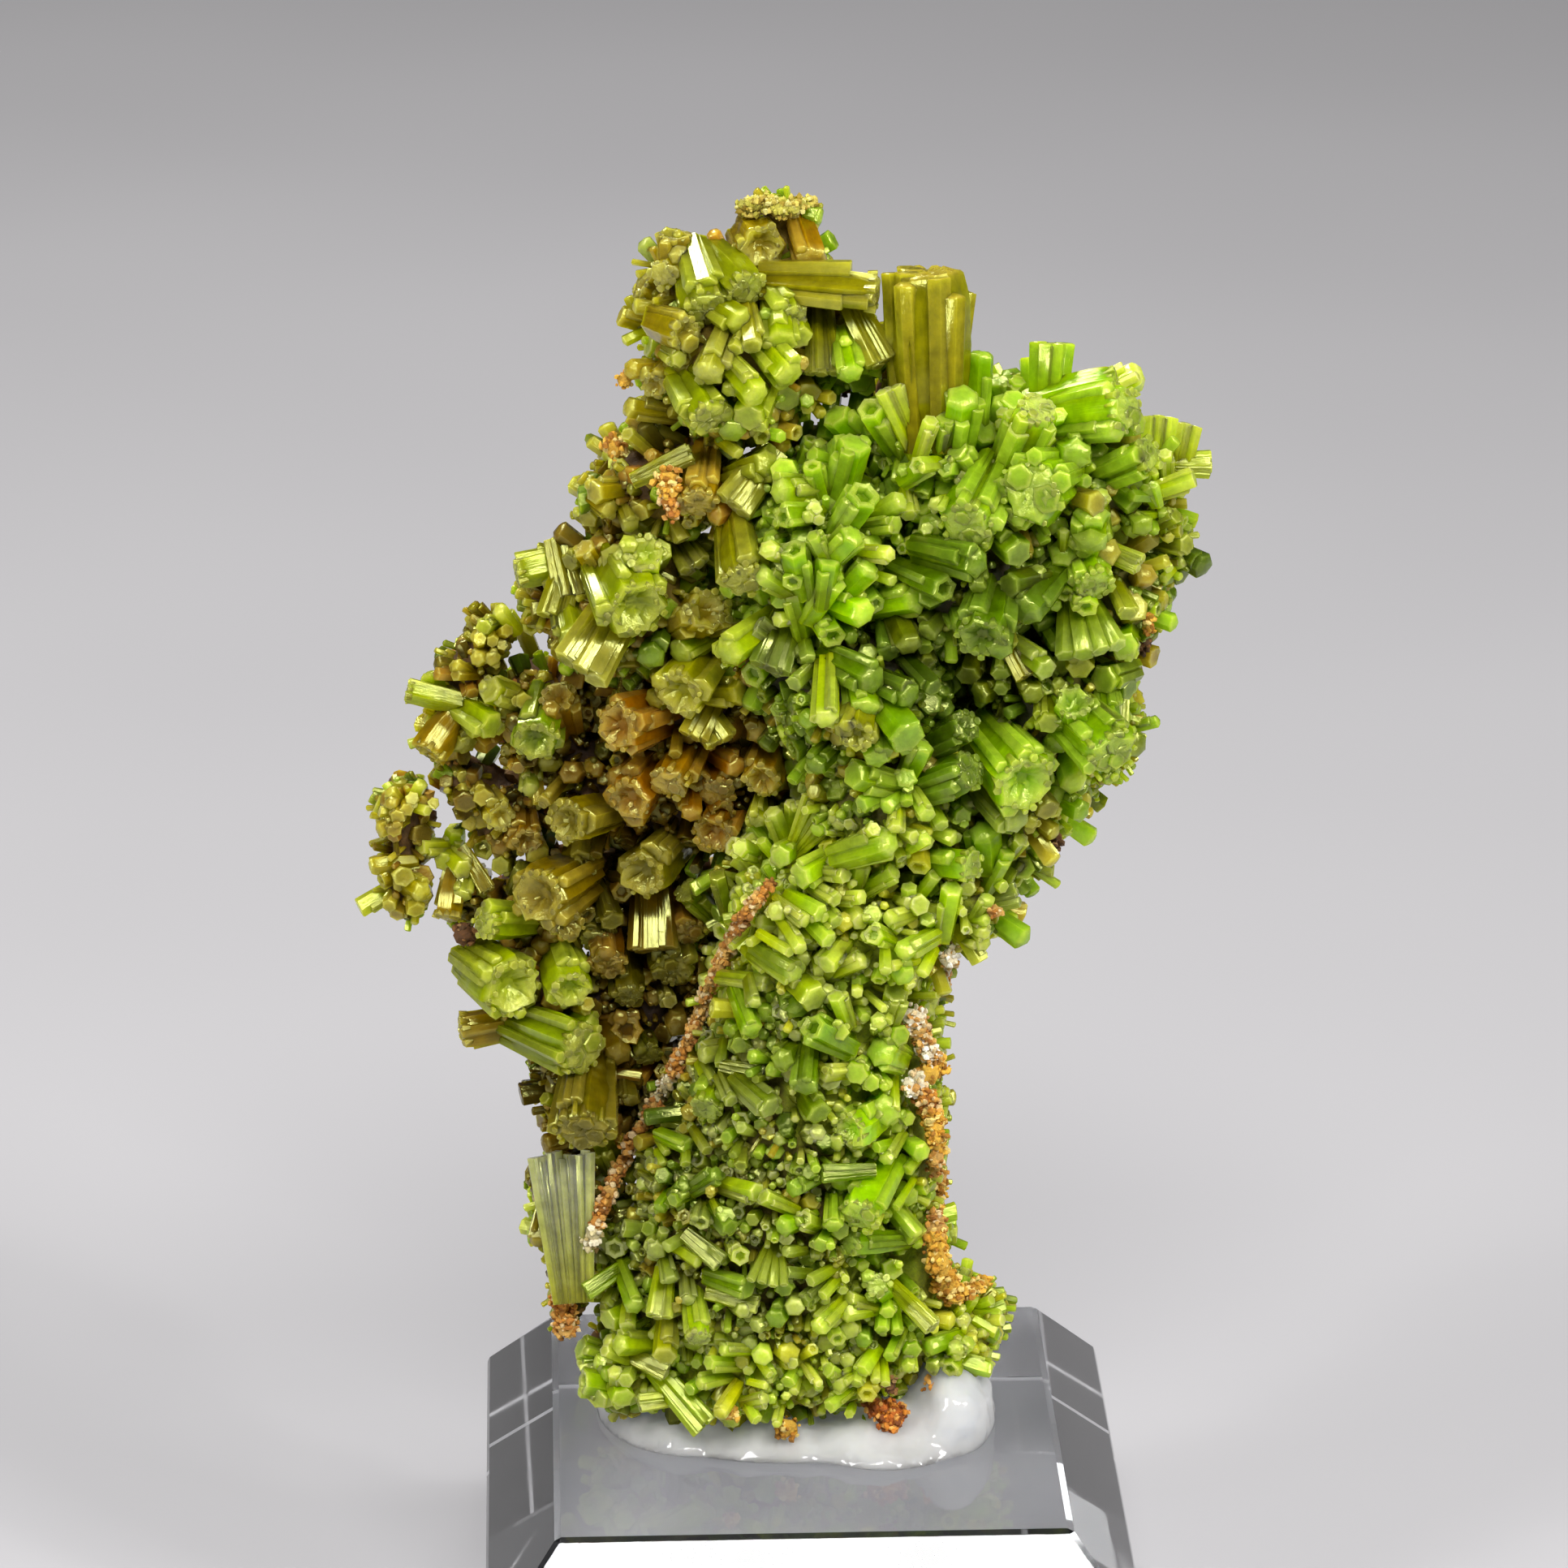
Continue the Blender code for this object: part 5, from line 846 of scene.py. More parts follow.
def roughen(mesh, size, depth):
    """Moves each vertex along its normal by smooth noise, and keeps it above the gel."""
    moved = []
    for vertex in mesh.vertices:
        push = noise.fractal(vertex.co / size, *ROUGH_NOISE) * depth
        moved.append(vertex.co + vertex.normal * push)
    for vertex, place in zip(mesh.vertices, moved):
        place.z = max(place.z, LOWEST)
        vertex.co = place


def tree_of(obj):
    """A tree of the object's faces."""
    bm = bmesh.new()
    bm.from_mesh(obj.data)
    tree = BVHTree.FromBMesh(bm)
    bm.free()
    return tree


def on_surface(tree, x, y):
    """The point of the body that the pixel (x, y) shows, or the one nearest its sight line."""
    direction = sight(x, y)
    hit = tree.ray_cast(EYE, direction)
    if hit[0] is not None:
        return hit[0]
    near = at_depth(x, y, NEAR_DEPTH)
    best = None
    for step in range(SEARCH_STEPS):
        place = near + direction * (step * SEARCH_STEP)
        found = tree.find_nearest(place)
        if best is None or found[3] < best[1]:
            best = (place, found[3])
    return best[0]


class Form:
    """A crystal of unit size: corners around the axis, their heights, faces, paleness and painted hollow
    shade.
    """

    def __init__(self, corners, share, offset, faces, around, pale):
        self.corners = np.array(corners, float)
        self.share = np.array(share, float)
        self.offset = np.array(offset, float)
        self.loops = np.array([corner for face in faces for corner in face], int)
        self.sizes = np.array([len(face) for face in faces], int)
        self.around = np.array(around, float)
        self.pale = np.array(pale, float)


def stepped(outline, cuts, chance):
    """The outline with uneven growth steps between its rings, for the larger crystals."""
    if cuts < STEPPED_CUTS:
        return outline
    rings = []
    steps = STEPS_PER_CUT * cuts
    for number in range(steps + 1):
        at = number / steps
        after = next(index for index, (share, _) in enumerate(outline) if share >= at - TINY)
        high = outline[after]
        low = outline[max(after - 1, 0)]
        way = (at - low[0]) / (high[0] - low[0]) if after else 0.0
        rings.append((at, low[1] + (high[1] - low[1]) * way + chance.uniform(-STEP_DEPTH, STEP_DEPTH)))
    return rings


def crystal_outline(cuts, chance):
    """The crystal's uneven hexagon, with cuts faces to a side."""
    turns = [math.tau * side / SIDES + chance.uniform(-CORNER_TURN, CORNER_TURN) for side in range(SIDES)]
    reach = [chance.uniform(*CORNER_REACH) for _ in range(SIDES)]
    hexagon = [(r * math.cos(turn), r * math.sin(turn)) for r, turn in zip(reach, turns)]
    outline = []
    for side in range(SIDES):
        start = hexagon[side]
        end = hexagon[(side + 1) % SIDES]
        for cut in range(cuts):
            way = cut / cuts
            groove = 1.0 if cut == 0 else 1.0 + chance.uniform(*GROOVES)
            outline.append([(a + (b - a) * way) * groove for a, b in zip(start, end)])
    return outline


def crystal_form(shape, cuts, chance):
    """A six-sided crystal with cuts faces to a side."""
    outline = crystal_outline(cuts, chance)
    count = len(outline)
    tilt = (chance.uniform(-END_TILT, END_TILT), chance.uniform(-END_TILT, END_TILT))
    corners, share, offset, around, pale = [], [], [], [], []

    def ring(at, wide, lift, uneven, paleness_and_hollow_shade):
        for number, (x, y) in enumerate(outline):
            corners.append((x * wide, y * wide))
            share.append(at)
            slope = (x * tilt[0] + y * tilt[1]) * wide if at == 1.0 else 0.0
            offset.append(lift + slope + chance.uniform(-uneven, uneven))
            around.append(number)
            pale.append(paleness_and_hollow_shade)

    side_rings = [OUTLINES[shape][0], OUTLINES[shape][-1]]
    if cuts > 1:
        side_rings = stepped(OUTLINES[shape], cuts, chance)
    for at, wide in side_rings:
        last = at == 1.0
        ring(at, wide, -BEVEL if last else 0.0, 0.0, RIM_PALENESS if last else 0.0)
    top = OUTLINES[shape][-1][1]
    for wide, sink, uneven, paleness_and_hollow_shade in ENDS[shape]:
        ring(1.0, top * wide, -sink, uneven, paleness_and_hollow_shade)
    rings = len(corners) // count
    faces = [tuple(reversed(range(count)))]
    for level in range(rings - 1):
        for number in range(count):
            after = (number + 1) % count
            low = level * count
            faces.append((low + number, low + after, low + count + after, low + count + number))
    faces.append(tuple(range((rings - 1) * count, rings * count)))
    return Form(corners, share, offset, faces, around, pale)


class Cluster:
    """Gathers the points, faces and colours of many small bodies for one mesh."""

    def __init__(self):
        self.points = []
        self.loops = []
        self.sizes = []
        self.colours = []
        self.maps = []
        self.count = 0

    def add(self, points, loops, sizes, colours, maps):
        """Adds copies of one body: points and colours have a row for each copy."""
        copies, corners = points.shape[:2]
        starts = self.count + np.arange(copies)[:, None] * corners
        self.points.append(points.reshape(-1, 3))
        self.loops.append((loops[None, :] + starts).ravel())
        self.sizes.append(np.tile(sizes, copies))
        self.colours.append(colours.reshape(-1, 4))
        self.maps.append(maps.reshape(-1, 2))
        self.count += copies * corners

    def build(self, name):
        """One object of all that was added."""
        points = np.concatenate(self.points)
        loops = np.concatenate(self.loops)
        sizes = np.concatenate(self.sizes)
        mesh = bpy.data.meshes.new(name)
        mesh.vertices.add(len(points))
        mesh.loops.add(len(loops))
        mesh.polygons.add(len(sizes))
        mesh.vertices.foreach_set("co", points.ravel())
        mesh.loops.foreach_set("vertex_index", loops.astype(np.int32))
        mesh.polygons.foreach_set("loop_start", (np.cumsum(sizes) - sizes).astype(np.int32))
        layer = mesh.uv_layers.new(name="Grain")
        layer.data.foreach_set("uv", np.concatenate(self.maps).ravel())
        set_tones(mesh, np.concatenate(self.colours))
        mesh.update(calc_edges=True)
        mesh.validate()
        mesh.set_sharp_from_angle(angle=SHARP_ANGLE)
        return new_object(name, mesh)


def glint_ways(points):
    """For each point and front light, the way that a face looks if it throws this light at the viewer."""
    to_eye = unit(np.array(EYE) - points)
    lights = (KEY_PLACE, FILL_PLACE, TOP_PLACE)
    return np.stack([unit(to_eye + unit(np.array(place) - points)) for place in lights], axis=1)


def nearest_glint(axes, points):
    """The glint way that each axis stands most nearly square to, and its lean along that way."""
    ways = glint_ways(points)
    slants = (ways * axes[:, None, :]).sum(axis=2)
    nearest = np.abs(slants).argmin(axis=1)
    rows = np.arange(len(axes))
    return ways[rows, nearest], slants[rows, nearest]


def toward_glints(axes, lengths, points, chance):
    """The axes, some tipped a little so that a side face or the end throws a front light at the viewer."""
    ways, slant = nearest_glint(axes, points)
    tipped = (np.abs(slant) < GLINT_SLANT) & (np.abs(slant) * lengths < GLINT_SHIFT)
    tipped &= chance.random(len(axes)) < GLINT_SHARE
    axes = unit(axes - ways * np.where(tipped, slant, 0.0)[:, None])
    for ways in glint_ways(points).transpose(1, 0, 2):
        away = np.linalg.norm(axes - ways, axis=1)
        end_on = (away < END_GLINT_REACH) & (away * lengths < END_GLINT_SHIFT)
        end_on &= chance.random(len(axes)) < END_GLINT_SHARE
        axes[end_on] = ways[end_on]
    return axes


def face_ways(axes, points, chance):
    """The way that one side face of each crystal looks."""
    ways, slant = nearest_glint(axes, points)
    square = (np.abs(slant) < GLINT_NEAR) & (chance.random(len(axes)) < GLINT_TURNED)
    return np.where(square[:, None], ways, chance.normal(0.0, 1.0, axes.shape))


def crystal_colours(form, crystals):
    """The colour at each corner of each crystal. Its alpha tells the end from the sides."""
    body = np.array([crystal.tone[0] for crystal in crystals])[:, None, :]
    end = np.array([crystal.tone[1] for crystal in crystals])[:, None, :]
    rise = np.clip(form.share * ROOT_FADE, 0.0, 1.0)[None, :, None]
    pale = form.pale[None, :, None]
    # Painted shade: the body darkens towards the root, where neighbours crowd; lighter greens darken less
    shade = np.array(ROOT_PAINTED_SHADE) * (1 + body[:, :, 1:2])
    colour = body * (shade * (1 - rise) + rise)
    colour = colour + (end - body) * np.clip(pale, 0.0, 1.0)
    # Painted shade deep in a hollow end, where the paleness is below zero
    colour = colour * (1 + HOLLOW_PAINTED_SHADE * np.clip(pale, -1.0, 0.0))
    alpha = np.broadcast_to(np.clip(np.abs(pale), 0.0, 1.0), (len(crystals), len(form.share), 1))
    return np.concatenate([colour, alpha], axis=2)


def grow(cluster, form, crystals, chance):
    """Adds the crystals, which all have this form."""
    roots = np.array([crystal.root for crystal in crystals])
    axes = np.array([crystal.axis for crystal in crystals])
    facing = face_ways(axes, roots, chance)
    radii = np.array([crystal.radius for crystal in crystals])
    lengths = np.array([crystal.length for crystal in crystals])
    helper = np.where(np.abs(axes[:, 2:]) < UPRIGHT, [[0.0, 0.0, 1.0]], [[1.0, 0.0, 0.0]])
    side = unit(np.cross(helper, axes))
    other = np.cross(axes, side)
    half_face = math.tau / (2 * SIDES)
    turn = np.arctan2((facing * other).sum(axis=1), (facing * side).sum(axis=1)) - half_face
    first = side * np.cos(turn)[:, None] + other * np.sin(turn)[:, None]
    second = np.cross(axes, first)
    height = form.share[None, :] * lengths[:, None] + form.offset[None, :] * radii[:, None]
    points = roots[:, None, :] + height[:, :, None] * axes[:, None, :]
    points += (form.corners[None, :, 0] * radii[:, None])[:, :, None] * first[:, None, :]
    points += (form.corners[None, :, 1] * radii[:, None])[:, :, None] * second[:, None, :]
    shift = chance.uniform(0.0, GRAIN_SHIFT, (len(crystals), 1))
    across = form.around[form.loops][None, :] * GRAIN_SCALE + shift
    along = height[:, form.loops] / MM + shift
    maps = np.stack([across, along], axis=2)
    cluster.add(points, form.loops, form.sizes, crystal_colours(form, crystals), maps)


def side_of(axis):
    """The direction across a crystal that lies most nearly in the picture's plane."""
    side = axis.cross(FORWARD)
    if side.length < ALONG_SIGHT * axis.length:
        side = RIGHT.copy()
    return side.normalized()


def turned(side, other, turn):
    """The direction between two square ones that lies this far around."""
    return side * math.cos(turn) + other * math.sin(turn)


def grow_single(crystals, shape, cuts, root, tip, width, tone, chance):
    """One crystal with a form of its own."""
    form = crystal_form(shape, cuts, Random(int(chance.integers(SEEDS))))
    axis = tip - root
    crystals.append(Crystal(form, tuple(root), tuple(axis.normalized()), width / 2, axis.length, tone))


def crossings(crystals):
    """For each crystal, the numbers of those that cross it."""
    samples = []
    for crystal in crystals:
        way = Vector(crystal.axis) * crystal.length
        samples += [Vector(crystal.root) + way * share for share in SAMPLE_SHARES]
    tree = point_tree(samples)
    crossing = [set() for _ in crystals]
    for sample, place in enumerate(samples):
        number = sample // len(SAMPLE_SHARES)
        radius = crystals[number].radius
        for _, found, distance in tree.find_range(place, radius + max(radius, NEAR_RADIUS)):
            other = found // len(SAMPLE_SHARES)
            if other != number and distance < radius + crystals[other].radius:
                crossing[number].add(other)
                crossing[other].add(number)
    return crossing


def sort_apart(crystals):
    """A group for each crystal, so that hardly any crystals of one group cross: light can then pass
    through each crystal alone."""
    groups = [-1] * len(crystals)
    faces = [0] * GROUPS
    for number, others in enumerate(crossings(crystals)):
        taken = [0] * GROUPS
        for other in others:
            if groups[other] >= 0:
                taken[groups[other]] += 1
        best = min(range(GROUPS), key=lambda group: (taken[group], faces[group]))
        groups[number] = best
        faces[best] += len(crystals[number].form.sizes)
    return groups


def build_crystals(crystals, chance):
    """One piece for each group of crystals."""
    groups = sort_apart(crystals)
    pieces = []
    for group in range(GROUPS):
        cluster = Cluster()
        members = {}
        for crystal, place in zip(crystals, groups):
            if place == group:
                members.setdefault(id(crystal.form), []).append(crystal)
        for alike in members.values():
            grow(cluster, alike[0].form, alike, chance)
        pieces.append(cluster.build(f"crystals_{group + 1}"))
    return pieces


def grow_bundle(crystals, root, tip, width, tone, shape, chance):
    """Thin crystals side by side with uneven ends: a slab, a fan, or a wedge of many thin ones."""
    bundle = BUNDLES[shape]
    axis = tip - root
    side = side_of(axis)
    members = int(chance.integers(*bundle.members))
    near = bundle.near * width
    far = bundle.far * width + bundle.spread * axis.length
    for number in range(members):
        place = number / (members - 1) - 0.5
        start = root + side * (place * near)
        start -= FORWARD * (chance.uniform(-bundle.uneven, bundle.uneven) * width)
        way = axis + side * (place * (far - near))
        end = start + way * chance.uniform(bundle.shortest, 1.0)
        thick = width / members * bundle.fullness * chance.uniform(*MEMBER_WIDTHS)
        grow_single(crystals, "p", 2, start, end, thick, tone, chance)


def grow_nubs(crystals, root, tip, width, tone, chance):
    """Small crystals that stand on a barrel's end."""
    axis = (tip - root).normalized()
    side = side_of(axis)
    other = axis.cross(side)
    for _ in range(int(chance.integers(*NUB_COUNT))):
        turn = chance.uniform(0, math.tau)
        reach = width * NUB_REACH * math.sqrt(chance.uniform(NUB_LEAST_AREA, 1.0))
        middle = tip + turned(side, other, turn) * reach
        start = middle - axis * width * NUB_ROOT
        end = middle + axis * width * chance.uniform(*NUB_HEIGHTS)
        grow_single(crystals, "p", 1, start, end, width * chance.uniform(*NUB_WIDTHS), tone, chance)


def grow_beside(crystals, root, tip, width, tone, chance):
    """Thinner crystals grown along a crystal's sides, a little shorter or longer than it."""
    axis = tip - root
    side = side_of(axis)
    other = axis.normalized().cross(side)
    ribs = MANY_RIBS if width > WIDELY_RIBBED else FEW_RIBS
    for _ in range(int(chance.integers(*ribs.count))):
        turn = chance.uniform(0, math.tau)
        thick = width * chance.uniform(*ribs.widths)
        away = turned(side, other, turn) * (width / 2 - thick * RIB_SINK)
        end = root + away * chance.uniform(*RIB_FLARE) + axis * chance.uniform(ribs.shortest, LONGEST_RIB)
        shape = pick(PLAIN_ENDS, chance)
        grow_single(crystals, shape, 1, root + away * RIB_ROOT, end, thick, tone, chance)


def grow_rim(crystals, root, tip, width, tone, chance):
    """Tiny crystals that crowd the rim of a large crystal's end."""
    axis = (tip - root).normalized()
    side = side_of(axis)
    other = axis.cross(side)
    count = int(RIM_LEAST + width / RIM_SPACING)
    pale = tone[0] * RIM_SHARES[0] + tone[1] * RIM_SHARES[1]
    for number in range(count):
        turn = math.tau * (number + chance.uniform(-RIM_JITTER, RIM_JITTER)) / count
        reach = width * chance.uniform(*RIM_REACH)
        middle = tip + turned(side, other, turn) * reach
        lean = (middle - tip) * chance.uniform(0.0, RIM_LEAN)
        start = middle - axis * width * RIM_ROOT - lean
        end = middle + axis * width * chance.uniform(*RIM_HEIGHTS)
        thick = chance.uniform(*RIM_WIDTHS) * MM
        grow_single(crystals, "p", 1, start, end, thick, (pale, tone[1]), chance)


def zone_kind(x, y):
    """The kind of the zone at (x, y) of the frame."""
    return min(FRONT_ZONES, key=lambda zone: math.hypot(x - zone.x, y - zone.y) / zone.radius).kind


def patch_kind(x, y):
    """The kind of the patch of other colour at (x, y), if there is one."""
    inside = (patch.kind for patch in TONE_PATCHES if math.hypot(x - patch.x, y - patch.y) < patch.radius)
    return next(inside, None)


def mixed_tone(letter, chance):
    """The letter's colours, moved a little towards a neighbour's."""
    other = pick(TONE_NEIGHBOURS[letter], chance)
    share = chance.uniform(0.0, TONE_BLEND)
    light = chance.uniform(*TONE_LIGHT)
    pairs = zip(TONES[letter], TONES[other])
    return [(linear(own) * (1 - share) + linear(near) * share) * light for own, near in pairs]


def cast_tone(letter, x, y, chance):
    """The letter's colours, drawn towards those of the zone or patch at (x, y)."""
    cast, share = PATCH_CASTS.get(patch_kind(x, y), CASTS[zone_kind(x, y)])
    common = [linear(colour) for colour in TONES[cast]]
    return [own * (1 - share) + other * share for own, other in zip(mixed_tone(letter, chance), common)]


def turned_out(across, down, out, shape):
    """A crystal's way, turned so that its end faces the viewer as far as its shape asks."""
    flat = math.hypot(across, down)
    least = LEAST_OUT[shape]
    if out >= least * flat:
        return across, down, out
    share = max(math.hypot(1.0, out / flat) / math.hypot(1.0, least), LEAST_FLAT)
    return across * share, down * share, least * flat * share


def grow_form(crystals, deep, tip, width, tone, shape, chance):
    """The crystals that make up one single crystal of this shape."""
    if shape in BUNDLES:
        grow_bundle(crystals, deep, tip, width, tone, shape, chance)
        return
    cuts = 4 if width > FOUR_CUTS else 3 if width > THREE_CUTS else 2
    end = shape.replace("t", "b")
    if shape == "p":
        end = pick(PLAIN_ENDS, chance)
    grow_single(crystals, end, cuts, deep, tip, width, tone, chance)
    if shape in "bt" and width > NUBBED_WIDTH:
        grow_nubs(crystals, deep, tip, width, tone, chance)
    if shape in "bc" and width > RIMMED_WIDTH:
        grow_rim(crystals, deep, tip, width, tone, chance)
    if width > RIBBED_WIDTH:
        grow_beside(crystals, deep, tip, width, tone, chance)


def grow_placed_crystals(crystals, skin, rows, chance):
    """The crystals that stand out singly. Returns each one's root, tip and half width."""
    placed = []
    for x, y, across, down, out, width_px, (letter, shape) in rows:
        if skin.ray_cast(EYE, sight(x, y))[0] is not None:
            across, down, out = turned_out(across, down, out, shape)
        slim = SLIMMING.get(zone_kind(x, y), 1.0)
        across, down, out, width_px = (size * slim for size in (across, down, out, width_px))
        way = (RIGHT * across - UP * down - FORWARD * out) * PX
        root = on_surface(skin, x - across, y - down) + FORWARD * (SHIFTS.get(shape, 0.0) - CRYSTAL_LIFT)
        if shape != "t":
            alone = (np.array([way.normalized()]), np.array([way.length]), np.array([root]))
            way = Vector(toward_glints(*alone, chance)[0]) * way.length
        tip = root + way
        width = width_px * PX
        tip.z = max(tip.z, LOWEST + width * TIP_CLEARANCE)
        axis = (tip - root).normalized()
        deep = root - axis * min(ROOT_DEPTH, ROOT_WIDTHS * width)
        deep.z = max(deep.z, LOWEST + width / 2)
        tone = mixed_tone(letter, chance) if shape == "w" else cast_tone(letter, x, y, chance)
        placed.append((deep, tip, width / 2))
        grow_form(crystals, deep, tip, width, tone, shape, chance)
    return placed


def kinds_of(points, normals):
    """The kind of zone that each point lies in."""
    x, y = frame_places(points)
    nearness = np.stack([np.hypot(x - zone.x, y - zone.y) / zone.radius for zone in FRONT_ZONES])
    names = np.array([zone.kind for zone in FRONT_ZONES])[nearness.argmin(axis=0)]
    facing = -(normals @ np.array(FORWARD))
    names = np.where(facing < SIDE_FACING, "side", names)
    return np.where(facing < BACK_FACING, "back", names)


def surface_samples(obj, count, chance):
    """Points spread evenly over the object's faces."""
    mesh = obj.data
    mesh.calc_loop_triangles()
    corners = np.empty(len(mesh.loop_triangles) * 3, np.int32)
    mesh.loop_triangles.foreach_get("vertices", corners)
    places = vertex_places(mesh)[corners.reshape(-1, 3)]
    area = np.linalg.norm(np.cross(places[:, 1] - places[:, 0], places[:, 2] - places[:, 0]), axis=1)
    chosen = places[chance.choice(len(area), count, p=area / area.sum())]
    first = np.sqrt(chance.random((count, 1)))
    second = chance.random((count, 1))
    return chosen[:, 0] * (1 - first) + chosen[:, 1] * first * (1 - second) + chosen[:, 2] * first * second


def smooth_normals(skin, points):
    """The skin's normal nearest to each point."""
    return np.array([skin.find_nearest(Vector(point))[1] for point in points])


def thinned(points, spacings):
    """Which points to keep so that each has its own spacing."""
    tree = point_tree(points)
    kept = np.ones(len(points), bool)
    for number, point in enumerate(points):
        if kept[number]:
            for _, other, _ in tree.find_range(point, spacings[number]):
                if other > number:
                    kept[other] = False
    return kept


def clear_of(points, placed, patches):
    """Which points lie outside the single crystals, the space before their ends, and the bare rock."""
    free = np.ones(len(points), bool)
    for root, tip, radius in placed:
        axis = np.array((tip - root).normalized())
        along = (points - np.array(root)) @ axis
        off = np.linalg.norm(points - np.array(root) - along[:, None] * axis, axis=1)
        beside = (along > 0) & (along < (tip - root).length + CLEAR_BEFORE_END)
        free &= ~(beside & (off < radius * CLEAR_WIDTH))
    for place, reach, _, _ in patches:
        free &= np.linalg.norm(points - np.array(place), axis=1) > reach * GRAIN_CLEARANCE
    return free


def crust_places(rock, skin, chance):
    """Where the small crystals stand: points, normals, kinds of zone, widths and lengths."""
    points = surface_samples(rock, CRUST_TRIES, chance)
    normals = smooth_normals(skin, points)
    names = kinds_of(points, normals)
    widths = np.zeros(len(points))
    lengths = np.zeros(len(points))
    cover = np.ones(len(points))
    for name, kind in KINDS.items():
        here = names == name
        low, high = kind.widths
        widths[here] = (low + (high - low) * chance.random(here.sum()) ** SMALL_SHARE) * MM
        lengths[here] = chance.uniform(*kind.lengths, here.sum()) * MM
        cover[here] = kind.cover
    wanted = drift(points, PATCH_SIZE) * THIN_DRIFT + THIN_MIDDLE < cover
    points, normals, names, widths, lengths = only(wanted, points, normals, names, widths, lengths)
    return only(thinned(points, widths * CRUST_SPACING), points, normals, names, widths, lengths)


def spray_ways(points, normals, chance):
    """Each small crystal's axis, which leans out of its spray, and how proud of the skin it may stand."""
    middles = points[thinned(points, np.full(len(points), SPRAY_SPACING))]
    tree = point_tree(middles)
    nearest = np.array([tree.find(point)[0] for point in points])
    lean = (points - nearest) / SPRAY_SPACING * SPRAY_LEAN
    proud = CRUST_PROUD - CRUST_DOME * np.linalg.norm(points - nearest, axis=1) / SPRAY_SPACING
    facing = np.clip(-(normals @ np.array(FORWARD)), 0.0, 1.0)[:, None]
    axes = normals + lean - np.array(FORWARD) * facing * FACE_VIEWER
    axes += chance.normal(0.0, CRUST_JITTER, points.shape)
    return unit(axes), proud


def crust_tone(name, x, y, light, chance):
    """The colours of a small crystal of this kind of zone at (x, y) of the frame."""
    letters = KINDS[name].tones
    if name in PATCHED_KINDS:
        letters = PATCH_TONES.get(patch_kind(x, y), letters)
    return [part * light for part in mixed_tone(pick(letters, chance), chance)]


def grow_crust(crystals, rock, skin, placed, patches, chance):
    """The small crystals that cover the rock in sprays."""
    points, normals, names, widths, lengths = crust_places(rock, skin, chance)
    axes, proud = spray_ways(points, normals, chance)
    lengths += np.maximum(proud, 0.0)
    axes = toward_glints(axes, lengths, points, chance)
    for number, (point, axis) in enumerate(zip(points, axes)):
        tip = Vector(point + axis * lengths[number])
        place, normal, _, _ = skin.find_nearest(tip)
        above = (tip - place).dot(normal) - proud[number]
        if above > 0:
            lengths[number] -= above / max(LEAST_SLOPE, float(axis @ np.array(normal)))
    points -= axes * CRUST_ROOT
    lengths = np.maximum(lengths, CRUST_LEAST) + CRUST_ROOT
    tips = points + axes * lengths[:, None]
    fine = clear_of(tips, placed, patches) & (tips[:, 2] > LOWEST_TIP)
    points, axes, names, widths, lengths = only(fine, points, axes, names, widths, lengths)
    forms = [crystal_form(shape, 1, Random(seed)) for seed, shape in enumerate(CRUST_SHAPES)]
    frame_x, frame_y = frame_places(points)
    lights = 1 + PATCH_LIGHT * drift(points, LIGHT_PATCH_SIZE)
    for number, (point, axis) in enumerate(zip(points, axes)):
        tone = crust_tone(names[number], frame_x[number], frame_y[number], lights[number], chance)
        form = pick(forms, chance)
        radius = widths[number] / 2
        crystals.append(Crystal(form, tuple(point), tuple(axis), radius, lengths[number], tone))
        if chance.random() < TWIN_SHARE:
            away = np.cross(axis, chance.normal(0.0, 1.0, 3))
            root = point + away * (radius * TWIN_AWAY / np.linalg.norm(away))
            form = pick(forms, chance)
            length = lengths[number] * chance.uniform(*TWIN_LENGTHS)
            crystals.append(Crystal(form, tuple(root), tuple(axis), radius * TWIN_RADIUS, length, tone))


def grow_druse(crystals, rock, skin, patches, chance):
    """Tiny crystals that fill the gaps between the others."""
    roots = point_tree([crystal.root for crystal in crystals])
    points = surface_samples(rock, DRUSE_TRIES, chance)
    normals = smooth_normals(skin, points)
    names = kinds_of(points, normals)
    apart = np.array([roots.find(point)[2] for point in points]) > DRUSE_APART
    apart &= names != "back"
    apart &= clear_of(points + normals * MM, [], patches) & (points[:, 2] > LOWEST_DRUSE)
    points, normals, names = only(apart, points, normals, names)
    kept = thinned(points, np.full(len(points), DRUSE_SPACING))
    forms = [crystal_form("x", 1, Random(seed)) for seed in range(DRUSE_FORMS)]
    for point, normal, name in zip(points[kept], normals[kept], names[kept]):
        axis = Vector(normal + chance.normal(0.0, DRUSE_JITTER, 3)).normalized()
        tone = mixed_tone(pick(KINDS[name].tones, chance), chance)
        width = chance.uniform(*DRUSE_WIDTHS)
        root = Vector(point) - axis * CRUST_ROOT
        length = CRUST_ROOT + chance.uniform(*DRUSE_LENGTHS)
        crystals.append(Crystal(pick(forms, chance), tuple(root), tuple(axis), width / 2, length, tone))


